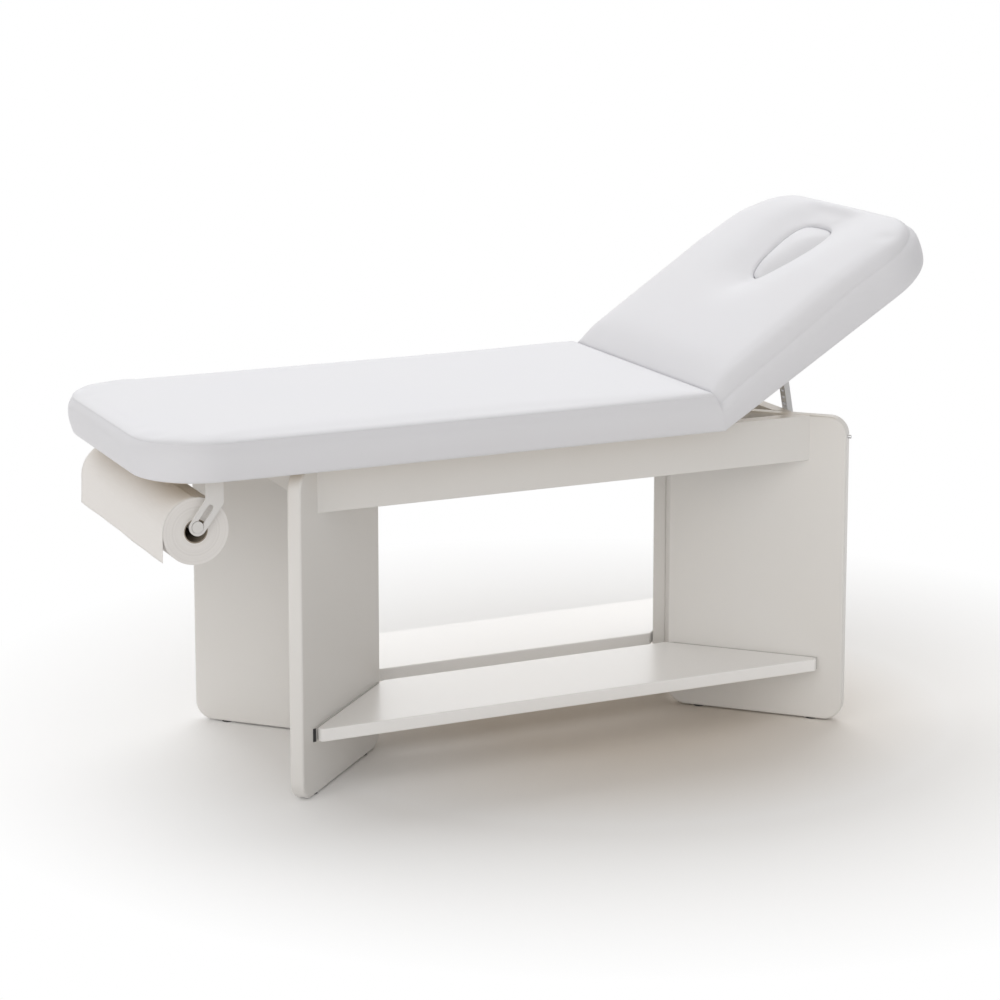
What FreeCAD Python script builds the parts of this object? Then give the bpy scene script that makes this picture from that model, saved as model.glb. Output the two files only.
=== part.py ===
"""Wooden treatment couch with V-shaped pedestals, two shelves, a lifting backrest and a paper roll.

Millimetres, +Z up, +X towards the head, near side at -Y. The pieces are laid out from the middle
between the pedestals and moved at the end, so that the origin is on the floor below the middle
of the whole couch with its backrest raised to its rest angle.
"""

import FreeCAD, Part
import os
from math import asin, cos, degrees, hypot, radians, sin, sqrt, tan

V = FreeCAD.Vector

# Overall sizes
COUCH_WIDTH = 680.0
SEAT_LENGTH = 1253.5  # foot end to hinge
BACK_LENGTH = 641.0  # hinge to head end
FRAME_TOP = 675.0
REST_TILT = 31.5  # degrees that the backrest is raised as modelled

# Pedestals: four upright panels at 45 degrees
PANEL_THICKNESS = 30.0
PANEL_INNER_Y = 36.3  # inner end of a panel's inner face
PANEL_SETBACK = 25.0  # couch side to a panel's outer end
FOOT_OVERHANG = 312.4  # foot end of the seat to the foot panels' outer ends
PANEL_CORNER = 40.0
PANEL_ARRIS = 5.0
GLIDE_HEIGHT = 3.0
GLIDE_RADIUS = 12.0
GLIDE_FROM_END = 70.0
POST_DEPTH = 30.0

# Top frame
APRON_HEIGHT = 98.3
APRON_THICKNESS = 30.0
APRON_SETBACK = 82.3  # couch side to an apron's outer face
APRON_ARRIS = 2.0
RAIL_IN_PEDESTAL = 193.1  # panels' inner ends to the middle of the rail across them
HINGE_TO_HEAD_RAIL = 216.5
HINGE_TO_HINGE_RAIL = 79.5
RAIL_THICKNESS = 30.0
DOWEL_RADIUS = 4.0
DOWEL_IN_PANEL = 18.0
DOWEL_IN_APRON = 11.0
DOWEL_IN_RAIL = 24.0
SCREW_RADIUS = 2.2
SCREW_HEAD = 5.0
SCREW_GRIP = 35.0  # rail left above a board screw's head
SCREW_IN_BOARD = 12.0
BOARD_SCREW_Y = 120.0

# Shelves
SHELF_SETBACK = 49.5  # couch side to a shelf's outer edge
SHELF_BOTTOM = 115.0
SHELF_THICKNESS = 27.0
SHELF_TIP = 11.0
SHELF_BACK_CORNER = 15.0
SHELF_ARRIS = 3.0
SPACER = 4.0  # rubber between a shelf's end and its panel

# Upholstery
CUSHION_HEIGHT = 88.5
PLAN_CORNER = 135.0
TOP_ROUND = 24.0
BOTTOM_ROUND = 18.0
COVER = 1.5
BOARD_THICKNESS = 18.0
BOARD_INSET = 25.0
SEAT_END_LEAN = 20.0  # degrees from upright, so that the foam ends never meet
BACK_END_LEAN = 30.5
BACK_CLEAR = 0.5  # back board above the top frame when flat

# Face hole and its plug
HOLE_NARROW_S = 352.0  # hinge to the hole's narrow end
HOLE_LENGTH = 196.0
HOLE_WIDE = 128.0
HOLE_NARROW_ROUND = 16.0
HOLE_WIDE_ROUND = 26.0
HOLE_LEDGE = 8.0
PLUG_CLEAR = 0.5
PLUG_RECESS = 3.0
PLUG_BOARD = 6.0

# Hinges
HINGE_FROM_APRON = 32.7  # middle of a hinge to the apron's inner face
HINGE_WIDTH = 60.0
HINGE_LEAF = 2.5
HINGE_REACH = 50.0
KNUCKLE_RADIUS = 5.0
HINGE_PIN = 2.5
FIT = 0.1  # round a pin
GAP = 0.3  # between faces of pieces that move

# Lifting struts
STRUT_Y = 150.0
UPPER_DROP = 14.0  # upper pivot below the hinge line with the backrest flat
LOWER_DROP = 40.85  # lower pivot below the hinge line
LOWER_REACH = 27.5  # head rail to the lower pivot
STRUT_MAX_TILT = 50.0
BAR_WIDTH = 22.0
BAR_DEPTH = 13.0
BAR_SHEET = 1.8
BAR_ABOVE = 6.0
BAR_BELOW = 22.0  # past the lower pivot at full height
SLOT_PITCH = 15.0
SLOT_WIDTH = 11.0
SLOT_HEIGHT = 5.0
SLOT_FIRST = 30.0
STRUT_PIN = 3.0
EAR = 2.5
EAR_ROUND = 6.0
GUIDE_WALL = 2.0
GUIDE_HEIGHT = 24.0
GUIDE_STUB = 4.0
PAWL_BACK = 15.0  # pawl pivot to the bar's middle
PAWL_HUB = 4.0
PAWL_PIN = 2.0
PAWL_WIDTH = 9.0
PAWL_TAIL = 7.5
PAWL_NOSE = 3.0
BASE_HEIGHT = 40.0
BASE_SHEET = 3.0

# Paper roll
SPINDLE_FROM_FOOT = 110.5
SPINDLE_DROP = 92.5  # below the seat board
SPINDLE_RADIUS = 11.6
ROLL_CLEAR = 10.0  # roll's end to the bracket's plate
ROLL_RADIUS = 67.0
CORE_INNER = 22.3
CORE_WALL = 2.0
TAIL_DROP = 57.0
TAIL_SHEET = 0.5
BRACKET_SETBACK = 54.5  # couch side to the inner face of a bracket's plate
BRACKET_SHEET = 3.0
BRACKET_WIDTH = 37.0
BRACKET_ARM_WIDTH = 34.0
BRACKET_FROM_SPINDLE = 35.0
BRACKET_BEND = 48.5  # spindle up to the bend
BRACKET_FLANGE = 26.0
KEYHOLE_CLEAR = 1.0  # wider than the spindle all round
KEYHOLE_SLOT = 12.6
KEYHOLE_REACH = 44.0

PEG_RADIUS = 4.0
PEG_LENGTH = 7.0
PEG_Z = 632.0

HALF_ROOT = sqrt(0.5)
parts = {}

# Places that follow from the sizes
HALF_WIDTH = COUCH_WIDTH / 2
PANEL_LENGTH = (HALF_WIDTH - PANEL_SETBACK - PANEL_INNER_Y) / HALF_ROOT
PANEL_REACH = PANEL_LENGTH * HALF_ROOT
RAIL_TO_HINGE = RAIL_IN_PEDESTAL - HINGE_TO_HEAD_RAIL
PANEL_INNER_X = (SEAT_LENGTH - FOOT_OVERHANG - PANEL_REACH - RAIL_TO_HINGE) / 2
END_RAIL_X = PANEL_INNER_X + RAIL_IN_PEDESTAL
HINGE_X = END_RAIL_X - HINGE_TO_HEAD_RAIL
HINGE_RAIL_X = HINGE_X - HINGE_TO_HINGE_RAIL
FOOT_X = HINGE_X - SEAT_LENGTH
HEAD_X = HINGE_X + BACK_LENGTH
APRON_HALF_SPAN = HALF_WIDTH - APRON_SETBACK
APRON_INNER = APRON_HALF_SPAN - APRON_THICKNESS
APRON_BOTTOM = FRAME_TOP - APRON_HEIGHT
SHELF_HALF_SPAN = HALF_WIDTH - SHELF_SETBACK
SHELF_TOP = SHELF_BOTTOM + SHELF_THICKNESS
HINGE_Y = APRON_INNER - HINGE_FROM_APRON
SPINDLE_X = FOOT_X + SPINDLE_FROM_FOOT
SPINDLE_Z = FRAME_TOP - SPINDLE_DROP
BRACKET_X = SPINDLE_X + BRACKET_FROM_SPINDLE
BRACKET_BEND_Z = SPINDLE_Z + BRACKET_BEND
BRACKET_Y = HALF_WIDTH - BRACKET_SETBACK
ROLL_HALF = BRACKET_Y - ROLL_CLEAR
KEYHOLE = SPINDLE_RADIUS + KEYHOLE_CLEAR


def block(x0, x1, y0, y1, z0, z1):
    return Part.makeBox(x1 - x0, y1 - y0, z1 - z0, V(x0, y0, z0))


def rod(radius, start, end):
    axis = end - start
    return Part.makeCylinder(radius, axis.Length, start, axis)


def outline(corners):
    """Closed wire through corners (x, y, radius), each rounded by a tangent arc."""
    points = [V(x, y, 0) for x, y, _ in corners]
    count = len(points)
    arcs = []
    for i, (_, _, radius) in enumerate(corners):
        back = (points[i - 1] - points[i]).normalize()
        ahead = (points[(i + 1) % count] - points[i]).normalize()
        if radius == 0:
            arcs.append((points[i], None, points[i]))
            continue
        half = back.getAngle(ahead) / 2
        reach = radius / tan(half)
        middle = (back + ahead).normalize() * (radius / sin(half) - radius)
        arcs.append((points[i] + back * reach, points[i] + middle, points[i] + ahead * reach))
    edges = []
    for i, (start, middle, end) in enumerate(arcs):
        if middle is not None:
            edges.append(Part.Arc(start, middle, end).toShape())
        following = arcs[(i + 1) % count][0]
        if (following - end).Length > 1e-6:
            edges.append(Part.LineSegment(end, following).toShape())
    return Part.Wire(edges)


def plate(corners, z0, z1):
    """Board of the given outline between two heights."""
    face = Part.Face(outline(corners))
    face.translate(V(0, 0, z0))
    return face.extrude(V(0, 0, z1 - z0))


def edges_at(shape, z):
    return [e for e in shape.Edges if abs(e.BoundBox.ZMin - z) < 1e-4 and abs(e.BoundBox.ZMax - z) < 1e-4]


def upright(shape, origin, along):
    """Stands a flat shape up: its x runs along the given plan direction and its y becomes z."""
    side = along.cross(V(0, 0, 1))
    matrix = FreeCAD.Matrix(
        along.x, 0, side.x, origin.x, along.y, 0, side.y, origin.y, 0, 1, 0, origin.z, 0, 0, 0, 1
    )
    return shape.transformGeometry(matrix)


def mirrored_x(shape):
    return shape.mirror(V(0, 0, 0), V(1, 0, 0))


def mirrored_y(shape):
    return shape.mirror(V(0, 0, 0), V(0, 1, 0))


def four_ways(shape):
    """The shape at the head and foot, on the far and near side."""
    pair = [shape, mirrored_y(shape)]
    return pair + [mirrored_x(s) for s in pair]


def group(shapes):
    return Part.makeCompound(shapes)


def raised(shape):
    """Turns a backrest piece, made flat, up to the rest angle about the hinge."""
    turned = shape.copy()
    turned.rotate(V(HINGE_X, 0, FRAME_TOP), V(0, -1, 0), REST_TILT)
    return turned


# ---- pedestals ---------------------------------------------------------------------------------

ALONG = V(HALF_ROOT, HALF_ROOT, 0)  # head far panel, from its inner to its outer end
OUTWARD = V(HALF_ROOT, -HALF_ROOT, 0)  # from its inner face to its outer face
INNER_END = V(PANEL_INNER_X, PANEL_INNER_Y, 0)


def on_panel(along, height):
    """Point on the inner face of the head far panel."""
    return INNER_END + ALONG * along + V(0, 0, height)


def make_panel():
    corners = [(0, GLIDE_HEIGHT), (PANEL_LENGTH, GLIDE_HEIGHT), (PANEL_LENGTH, FRAME_TOP), (0, FRAME_TOP)]
    panel = plate([(x, y, PANEL_CORNER) for x, y in corners], 0, PANEL_THICKNESS)
    rims = edges_at(panel, 0) + edges_at(panel, PANEL_THICKNESS)
    return upright(panel.makeFillet(PANEL_ARRIS, rims), INNER_END, ALONG)


def make_glides():
    glides = []
    for along in (GLIDE_FROM_END, PANEL_LENGTH - GLIDE_FROM_END):
        foot = on_panel(along, 0) + OUTWARD * (PANEL_THICKNESS / 2)
        glides += four_ways(rod(GLIDE_RADIUS, foot, foot + V(0, 0, GLIDE_HEIGHT)))
    return group(glides)


OUTER_CORNER = INNER_END + OUTWARD * PANEL_THICKNESS


def outer_face_y(x):
    """Half width between the outer faces of a pedestal's panels."""
    return OUTER_CORNER.y + (x - OUTER_CORNER.x)


def inner_face_x(y):
    return PANEL_INNER_X + (y - PANEL_INNER_Y)


def make_post():
    x0 = OUTER_CORNER.x
    x1 = x0 + POST_DEPTH
    y0, y1 = outer_face_y(x0), outer_face_y(x1)
    z0, z1 = GLIDE_HEIGHT + PANEL_CORNER, FRAME_TOP - PANEL_CORNER
    return plate([(x0, -y0, 0), (x1, -y1, 0), (x1, y1, 0), (x0, y0, 0)], z0, z1)


# ---- top frame ---------------------------------------------------------------------------------


def make_apron():
    outer, inner = inner_face_x(APRON_HALF_SPAN), inner_face_x(APRON_INNER)
    plan = [(-outer, APRON_HALF_SPAN, 0), (-inner, APRON_INNER, 0), (inner, APRON_INNER, 0),
            (outer, APRON_HALF_SPAN, 0)]
    apron = plate(plan, APRON_BOTTOM, FRAME_TOP)
    lower = [e for e in edges_at(apron, APRON_BOTTOM) if abs(e.BoundBox.YMin - APRON_HALF_SPAN) < 1e-4]
    return apron.makeFillet(APRON_ARRIS, lower)


def make_end_rail():
    x0, x1 = END_RAIL_X - RAIL_THICKNESS / 2, END_RAIL_X + RAIL_THICKNESS / 2
    y0, y1 = outer_face_y(x0), outer_face_y(x1)
    return plate([(x0, -y0, 0), (x1, -y1, 0), (x1, y1, 0), (x0, y0, 0)], APRON_BOTTOM, FRAME_TOP)


def make_cross_rail(x):
    half = RAIL_THICKNESS / 2
    return block(x - half, x + half, -APRON_INNER, APRON_INNER, APRON_BOTTOM, FRAME_TOP)


def make_frame_dowels():
    """Dowels through the joints of aprons and rails, two above each other."""
    dowels = []
    apron_middle = (APRON_HALF_SPAN + APRON_INNER) / 2
    rail_y = outer_face_y(END_RAIL_X)
    for share in (0.3, 0.7):
        z = APRON_BOTTOM + APRON_HEIGHT * share
        joint = V(inner_face_x(apron_middle), apron_middle, z)
        dowels += four_ways(rod(DOWEL_RADIUS, joint - OUTWARD * DOWEL_IN_APRON,
                                joint + OUTWARD * DOWEL_IN_PANEL))
        joint = V(END_RAIL_X, rail_y, z)
        dowels += four_ways(rod(DOWEL_RADIUS, joint - OUTWARD * DOWEL_IN_PANEL,
                                joint + OUTWARD * DOWEL_IN_APRON))
        for x in (0, HINGE_RAIL_X):
            start = V(x, APRON_INNER - DOWEL_IN_RAIL, z)
            dowel = rod(DOWEL_RADIUS, start, start + V(0, DOWEL_IN_RAIL + DOWEL_IN_PANEL, 0))
            dowels += [dowel, mirrored_y(dowel)]
    return group(dowels)


def make_post_dowels():
    dowels = []
    for share in (0.2, 0.5, 0.8):
        face = OUTER_CORNER + ALONG * (POST_DEPTH * HALF_ROOT)
        joint = V(face.x, face.y, FRAME_TOP * share)
        dowels += four_ways(rod(DOWEL_RADIUS, joint - OUTWARD * DOWEL_IN_PANEL,
                                joint + OUTWARD * DOWEL_IN_PANEL))
    return group(dowels)


def screw(top, tip, head_height=3.0, radius=SCREW_RADIUS, head=SCREW_HEAD):
    """Screw whose head's underside lies at top and whose shank ends at tip."""
    direction = (tip - top).normalize()
    return rod(radius, top, tip).fuse(rod(head, top - direction * head_height, top))


def board_screw_places():
    return [(x, y) for x in (-END_RAIL_X, 0, HINGE_RAIL_X) for y in (-BOARD_SCREW_Y, BOARD_SCREW_Y)]


def make_board_screws():
    seat = FRAME_TOP - SCREW_GRIP
    return group([screw(V(x, y, seat), V(x, y, FRAME_TOP + SCREW_IN_BOARD)) for x, y in board_screw_places()])


def board_screw_holes():
    seat = FRAME_TOP - SCREW_GRIP
    return group([rod(SCREW_HEAD + 1, V(x, y, APRON_BOTTOM - 1), V(x, y, seat)) for x, y in board_screw_places()])


# ---- shelves -----------------------------------------------------------------------------------


def shelf_plan(from_panel):
    """Corners of the far shelf, whose ends stay the given distance from the panels."""
    shift = from_panel / HALF_ROOT
    inner = inner_face_x(PANEL_INNER_Y) - shift
    outer = inner_face_x(SHELF_HALF_SPAN) - shift
    return [(-outer, SHELF_HALF_SPAN, SHELF_TIP), (-inner, PANEL_INNER_Y, SHELF_BACK_CORNER),
            (inner, PANEL_INNER_Y, SHELF_BACK_CORNER), (outer, SHELF_HALF_SPAN, SHELF_TIP)]


def make_shelf():
    shelf = plate(shelf_plan(SPACER), SHELF_BOTTOM, SHELF_TOP)
    return shelf.makeFillet(SHELF_ARRIS, edges_at(shelf, SHELF_BOTTOM) + edges_at(shelf, SHELF_TOP))


def shelf_end(share, from_face=0.0):
    """Point at mid height of a shelf's end, at a share of its width."""
    span = SHELF_HALF_SPAN - PANEL_INNER_Y
    along = span * share / HALF_ROOT
    return on_panel(along, SHELF_BOTTOM + SHELF_THICKNESS / 2) - OUTWARD * from_face


def make_spacer():
    length = (SHELF_HALF_SPAN - PANEL_INNER_Y) / HALF_ROOT
    flat = plate([(SHELF_BACK_CORNER, SHELF_BOTTOM, 0), (length - SHELF_TIP / 2, SHELF_BOTTOM, 0),
                  (length - SHELF_TIP / 2, SHELF_TOP, 0), (SHELF_BACK_CORNER, SHELF_TOP, 0)], -SPACER, 0)
    return upright(flat, INNER_END, ALONG)


def make_shelf_dowels():
    dowels = []
    for share in (0.25, 0.75):
        start = shelf_end(share, SPACER + DOWEL_IN_RAIL)
        dowels += four_ways(rod(DOWEL_RADIUS, start, shelf_end(share) + OUTWARD * DOWEL_IN_PANEL))
    return group(dowels)


# ---- upholstery --------------------------------------------------------------------------------

PAST_HINGE = 80.0  # outlines run past the hinge and are cut on the end planes


def pad(end_x, inset, z0, z1, top_round, bottom_round):
    """Rounded pad from past the hinge to the given end, cut square at the hinge side later."""
    toward = 1 if end_x > HINGE_X else -1
    end = end_x - toward * inset
    half = HALF_WIDTH - inset
    corner = PLAN_CORNER - inset
    start = HINGE_X - toward * PAST_HINGE
    body = plate([(start, -half, 0), (end, -half, corner), (end, half, corner), (start, half, 0)], z0, z1)
    if bottom_round:
        body = body.makeFillet(bottom_round, rim(body, z0, start))
    if top_round:
        body = body.makeFillet(top_round, rim(body, z1, start))
    return body


def rim(body, z, start):
    """Edges at a height, apart from the square edge on the hinge side."""
    return [e for e in edges_at(body, z) if e.BoundBox.XLength > 1e-3 or abs(e.BoundBox.XMin - start) > 1e-3]


def end_cut(toward, lean, inset):
    """Everything beyond a pad's end plane, which leans away from upright through the hinge line."""
    far = 4 * CUSHION_HEIGHT
    cutter = block(-far, -inset, -HALF_WIDTH - 10, HALF_WIDTH + 10, -far, far)
    cutter.rotate(V(0, 0, 0), V(0, 1, 0), lean)
    if toward < 0:
        cutter = mirrored_x(cutter)
    cutter.translate(V(HINGE_X, 0, FRAME_TOP))
    return cutter


KNUCKLE_ROOM = rod(KNUCKLE_RADIUS + 1, V(HINGE_X, -HALF_WIDTH, FRAME_TOP), V(HINGE_X, HALF_WIDTH, FRAME_TOP))


def make_pad(end_x, bottom, lean):
    """Board, foam and cover of one cushion, made flat."""
    toward = 1 if end_x > HINGE_X else -1
    top = FRAME_TOP + CUSHION_HEIGHT
    envelope = pad(end_x, 0, bottom, top, TOP_ROUND, BOTTOM_ROUND).cut(end_cut(toward, lean, -GAP))
    filling = pad(end_x, COVER, bottom + COVER, top - COVER, TOP_ROUND - COVER, BOTTOM_ROUND - COVER)
    filling = filling.cut(end_cut(toward, lean, -GAP - COVER))
    board = pad(end_x, BOARD_INSET, bottom, bottom + BOARD_THICKNESS, 0, 0)
    board = board.cut(end_cut(toward, lean, -GAP - COVER)).cut(KNUCKLE_ROOM)
    foam = filling.cut(pad(end_x, BOARD_INSET, bottom - 1, bottom + BOARD_THICKNESS, 0, 0)).cut(KNUCKLE_ROOM)
    mouth = pad(end_x, BOARD_INSET, bottom - 1, bottom + BOARD_THICKNESS, 0, 0)
    cover = envelope.cut(filling).cut(mouth).cut(KNUCKLE_ROOM)
    return board, foam, cover


def hole_plan(inset):
    """Rounded triangle, narrow towards the hinge."""
    narrow = HINGE_X + HOLE_NARROW_S + inset
    wide = HINGE_X + HOLE_NARROW_S + HOLE_LENGTH - inset
    half_narrow = HOLE_NARROW_ROUND + 4 - inset
    half_wide = HOLE_WIDE / 2 - inset
    return [(narrow, -half_narrow, HOLE_NARROW_ROUND - inset), (wide, -half_wide, HOLE_WIDE_ROUND - inset),
            (wide, half_wide, HOLE_WIDE_ROUND - inset), (narrow, half_narrow, HOLE_NARROW_ROUND - inset)]


BACK_BOTTOM = FRAME_TOP + BACK_CLEAR
LEDGE_Z = BACK_BOTTOM + BOARD_THICKNESS
PLUG_TOP = FRAME_TOP + CUSHION_HEIGHT - PLUG_RECESS


def make_back():
    board, foam, cover = make_pad(HEAD_X, BACK_BOTTOM, BACK_END_LEAN)
    through = plate(hole_plan(0), BACK_BOTTOM - 1, FRAME_TOP + CUSHION_HEIGHT + 1)
    board = board.cut(plate(hole_plan(HOLE_LEDGE), BACK_BOTTOM - 1, LEDGE_Z + 1))
    return board, foam.cut(through), cover.cut(through)


def make_plug():
    board = plate(hole_plan(PLUG_CLEAR), LEDGE_Z + GAP, LEDGE_Z + GAP + PLUG_BOARD)
    floor = LEDGE_Z + GAP + PLUG_BOARD
    foam = plate(hole_plan(PLUG_CLEAR + COVER), floor, PLUG_TOP - COVER)
    cover = plate(hole_plan(PLUG_CLEAR), floor, PLUG_TOP).cut(foam)
    return board, foam, cover


# ---- hinges ------------------------------------------------------------------------------------

HINGE_NEAR = HINGE_Y - HINGE_WIDTH / 2
HINGE_FAR = HINGE_Y + HINGE_WIDTH / 2
KNUCKLE_HALF = HINGE_WIDTH / 6


def knuckle(y0, y1):
    return rod(KNUCKLE_RADIUS, V(HINGE_X, y0, FRAME_TOP), V(HINGE_X, y1, FRAME_TOP))


def pin_bore(clearance):
    start = V(HINGE_X, HINGE_NEAR - 1, FRAME_TOP)
    return rod(HINGE_PIN + clearance, start, start + V(0, HINGE_WIDTH + 2, 0))


def hinge_screws(toward, bottom):
    screws = []
    for dy in (-HINGE_WIDTH / 4, HINGE_WIDTH / 4):
        x = HINGE_X + toward * HINGE_REACH * 0.65
        y = HINGE_Y + dy
        screws.append(screw(V(x, y, bottom - HINGE_LEAF), V(x, y, bottom + SCREW_IN_BOARD), 1.5, SCREW_RADIUS, 4.0))
    return screws


def make_fixed_leaf():
    leaf = block(HINGE_X - HINGE_REACH, HINGE_X - KNUCKLE_RADIUS / 2, HINGE_NEAR, HINGE_FAR,
                 FRAME_TOP - HINGE_LEAF, FRAME_TOP)
    room = rod(KNUCKLE_RADIUS + GAP, V(HINGE_X, HINGE_Y - KNUCKLE_HALF - GAP, FRAME_TOP),
               V(HINGE_X, HINGE_Y + KNUCKLE_HALF + GAP, FRAME_TOP))
    leaf = leaf.fuse(knuckle(HINGE_NEAR, HINGE_Y - KNUCKLE_HALF - GAP))
    leaf = leaf.fuse(knuckle(HINGE_Y + KNUCKLE_HALF + GAP, HINGE_FAR))
    return leaf.cut(room).cut(pin_bore(0))


def make_moving_leaf():
    leaf = block(HINGE_X + KNUCKLE_RADIUS / 2, HINGE_X + HINGE_REACH, HINGE_NEAR, HINGE_FAR,
                 BACK_BOTTOM - HINGE_LEAF, BACK_BOTTOM)
    for y0, y1 in ((HINGE_NEAR - 1, HINGE_Y - KNUCKLE_HALF), (HINGE_Y + KNUCKLE_HALF, HINGE_FAR + 1)):
        leaf = leaf.cut(rod(KNUCKLE_RADIUS + GAP, V(HINGE_X, y0, FRAME_TOP), V(HINGE_X, y1, FRAME_TOP)))
    return leaf.fuse(knuckle(HINGE_Y - KNUCKLE_HALF, HINGE_Y + KNUCKLE_HALF)).cut(pin_bore(FIT))


def make_hinge_pin():
    return rod(HINGE_PIN, V(HINGE_X, HINGE_NEAR, FRAME_TOP), V(HINGE_X, HINGE_FAR, FRAME_TOP))


# ---- lifting struts ----------------------------------------------------------------------------
# Both pivots of a strut lie at the same distance from the hinge line, so a strut turns half as
# far as the backrest, against the backrest and against the frame alike.

HEAD_RAIL_FACE = END_RAIL_X + RAIL_THICKNESS / 2
LOWER = V(HEAD_RAIL_FACE + LOWER_REACH, 0, FRAME_TOP - LOWER_DROP)
STRUT_ARM = hypot(LOWER.x - HINGE_X, LOWER_DROP)
UPPER_ANGLE = asin(UPPER_DROP / STRUT_ARM)
LOWER_ANGLE = asin(LOWER_DROP / STRUT_ARM)
UPPER_FLAT = V(HINGE_X + STRUT_ARM * cos(UPPER_ANGLE), 0, FRAME_TOP - UPPER_DROP)
STRUT_LEAN = (REST_TILT - degrees(UPPER_ANGLE + LOWER_ANGLE)) / 2
LONGEST = 2 * STRUT_ARM * sin((radians(STRUT_MAX_TILT) + LOWER_ANGLE - UPPER_ANGLE) / 2)
BAR_LENGTH = LONGEST + BAR_BELOW
UPPER = V(
    HINGE_X + STRUT_ARM * cos(radians(REST_TILT) - UPPER_ANGLE),
    0,
    FRAME_TOP + STRUT_ARM * sin(radians(REST_TILT) - UPPER_ANGLE),
)


def hung(shape, pivot):
    """Leans a shape made upright about the origin, and hangs it at a pivot of the far strut."""
    shape.rotate(V(0, 0, 0), V(0, -1, 0), STRUT_LEAN)
    shape.translate(pivot + V(0, STRUT_Y, 0))
    return shape


def make_bar():
    """Channel open towards the head, with a row of slots in its web and a pin hole at its top."""
    half, depth = BAR_WIDTH / 2, BAR_DEPTH / 2
    bar = block(-depth, depth, -half, half, -BAR_LENGTH, BAR_ABOVE)
    bar = bar.cut(block(-depth + BAR_SHEET, depth + 1, -half + BAR_SHEET, half - BAR_SHEET,
                        -BAR_LENGTH - 1, BAR_ABOVE + 1))
    bar = bar.cut(rod(STRUT_PIN + FIT, V(0, -half - 1, 0), V(0, half + 1, 0)))
    distance = SLOT_FIRST
    while distance < BAR_LENGTH - SLOT_PITCH:
        bar = bar.cut(block(-depth - 1, -depth + BAR_SHEET + 1, -SLOT_WIDTH / 2, SLOT_WIDTH / 2,
                            -distance - SLOT_HEIGHT / 2, -distance + SLOT_HEIGHT / 2))
        distance += SLOT_PITCH
    return hung(bar, UPPER)


CHEEK = BAR_WIDTH / 2 + GAP  # guide's inner side face
CHEEK_OUT = CHEEK + GUIDE_WALL
GUIDE_IN = BAR_DEPTH / 2 + GAP
GUIDE_OUT = GUIDE_IN + GUIDE_WALL


def make_guide():
    """Box round the bar with a stub on each side and two cheeks for the pawl."""
    half = GUIDE_HEIGHT / 2
    guide = block(-GUIDE_OUT, GUIDE_OUT, -CHEEK_OUT, CHEEK_OUT, -half, half)
    guide = guide.cut(block(-GUIDE_IN, GUIDE_IN, -CHEEK, CHEEK, -half - 1, half + 1))
    window = PAWL_WIDTH / 2 + 1
    guide = guide.cut(block(-GUIDE_OUT - 1, 0, -window, window, -half / 2, half / 2))
    cheek_end = PAWL_BACK + PAWL_HUB
    for side in (-1, 1):
        y0, y1 = sorted((side * CHEEK, side * CHEEK_OUT))
        guide = guide.fuse(block(-cheek_end, -GUIDE_OUT, y0, y1, -half / 2, half / 2))
        stub = rod(GUIDE_STUB, V(0, side * CHEEK_OUT, 0), V(0, side * (CHEEK_OUT + GAP + EAR), 0))
        guide = guide.fuse(stub)
    guide = guide.cut(rod(PAWL_PIN + FIT, V(-PAWL_BACK, -CHEEK_OUT - 1, 0), V(-PAWL_BACK, CHEEK_OUT + 1, 0)))
    return hung(guide, LOWER)


def make_pawl():
    """Hub on a cross pin, a nose that points at the bar's slots and a tail to press."""
    half = PAWL_WIDTH / 2
    pawl = rod(PAWL_HUB, V(-PAWL_BACK, -half, 0), V(-PAWL_BACK, half, 0))
    pawl = pawl.fuse(rod(PAWL_PIN, V(-PAWL_BACK, -CHEEK_OUT, 0), V(-PAWL_BACK, CHEEK_OUT, 0)))
    nose_tip = -BAR_DEPTH / 2 - GAP
    pawl = pawl.fuse(block(-PAWL_BACK, nose_tip, -half, half, -PAWL_NOSE / 2, PAWL_NOSE / 2))
    pawl = pawl.fuse(block(-PAWL_BACK - PAWL_TAIL, -PAWL_BACK, -half, half, -1.5, 1.5))
    return hung(pawl, LOWER)


def clevis(inner, reach, base_length):
    """Two ears that point up from a base plate at z = 0, about the y axis, pivot at z = reach."""
    out = inner + EAR
    body = block(-base_length / 2, base_length / 2, -out, out, 0, BASE_SHEET)
    for side in (-1, 1):
        y0, y1 = sorted((side * inner, side * out))
        ear = block(-EAR_ROUND, EAR_ROUND, y0, y1, 0, reach)
        body = body.fuse(ear).fuse(rod(EAR_ROUND, V(0, y0, reach), V(0, y1, reach)))
    return body


def make_strut_bracket():
    """Clevis under the back board that carries a strut's upper pivot."""
    drop = UPPER_DROP + BACK_CLEAR
    body = clevis(BAR_WIDTH / 2 + GAP, drop, BASE_HEIGHT)
    body.rotate(V(0, 0, 0), V(1, 0, 0), 180)
    body.translate(V(UPPER_FLAT.x, STRUT_Y, BACK_BOTTOM))
    start = UPPER_FLAT + V(0, STRUT_Y - BAR_WIDTH, 0)
    return raised(body.cut(rod(STRUT_PIN, start, start + V(0, 2 * BAR_WIDTH, 0))))


def make_strut_pin():
    half = BAR_WIDTH / 2 + GAP + EAR
    return raised(rod(STRUT_PIN, UPPER_FLAT + V(0, STRUT_Y - half, 0), UPPER_FLAT + V(0, STRUT_Y + half, 0)))


def make_guide_bracket():
    """Clevis on the head rail that carries a strut's guide."""
    body = clevis(CHEEK_OUT + GAP, LOWER_REACH, BASE_HEIGHT)
    body.rotate(V(0, 0, 0), V(0, 1, 0), 90)
    body.translate(V(HEAD_RAIL_FACE, STRUT_Y, LOWER.z))
    middle = LOWER + V(0, STRUT_Y, 0)
    reach = V(0, CHEEK_OUT + 2 * EAR, 0)
    return body.cut(rod(GUIDE_STUB + FIT, middle - reach, middle + reach))


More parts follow.
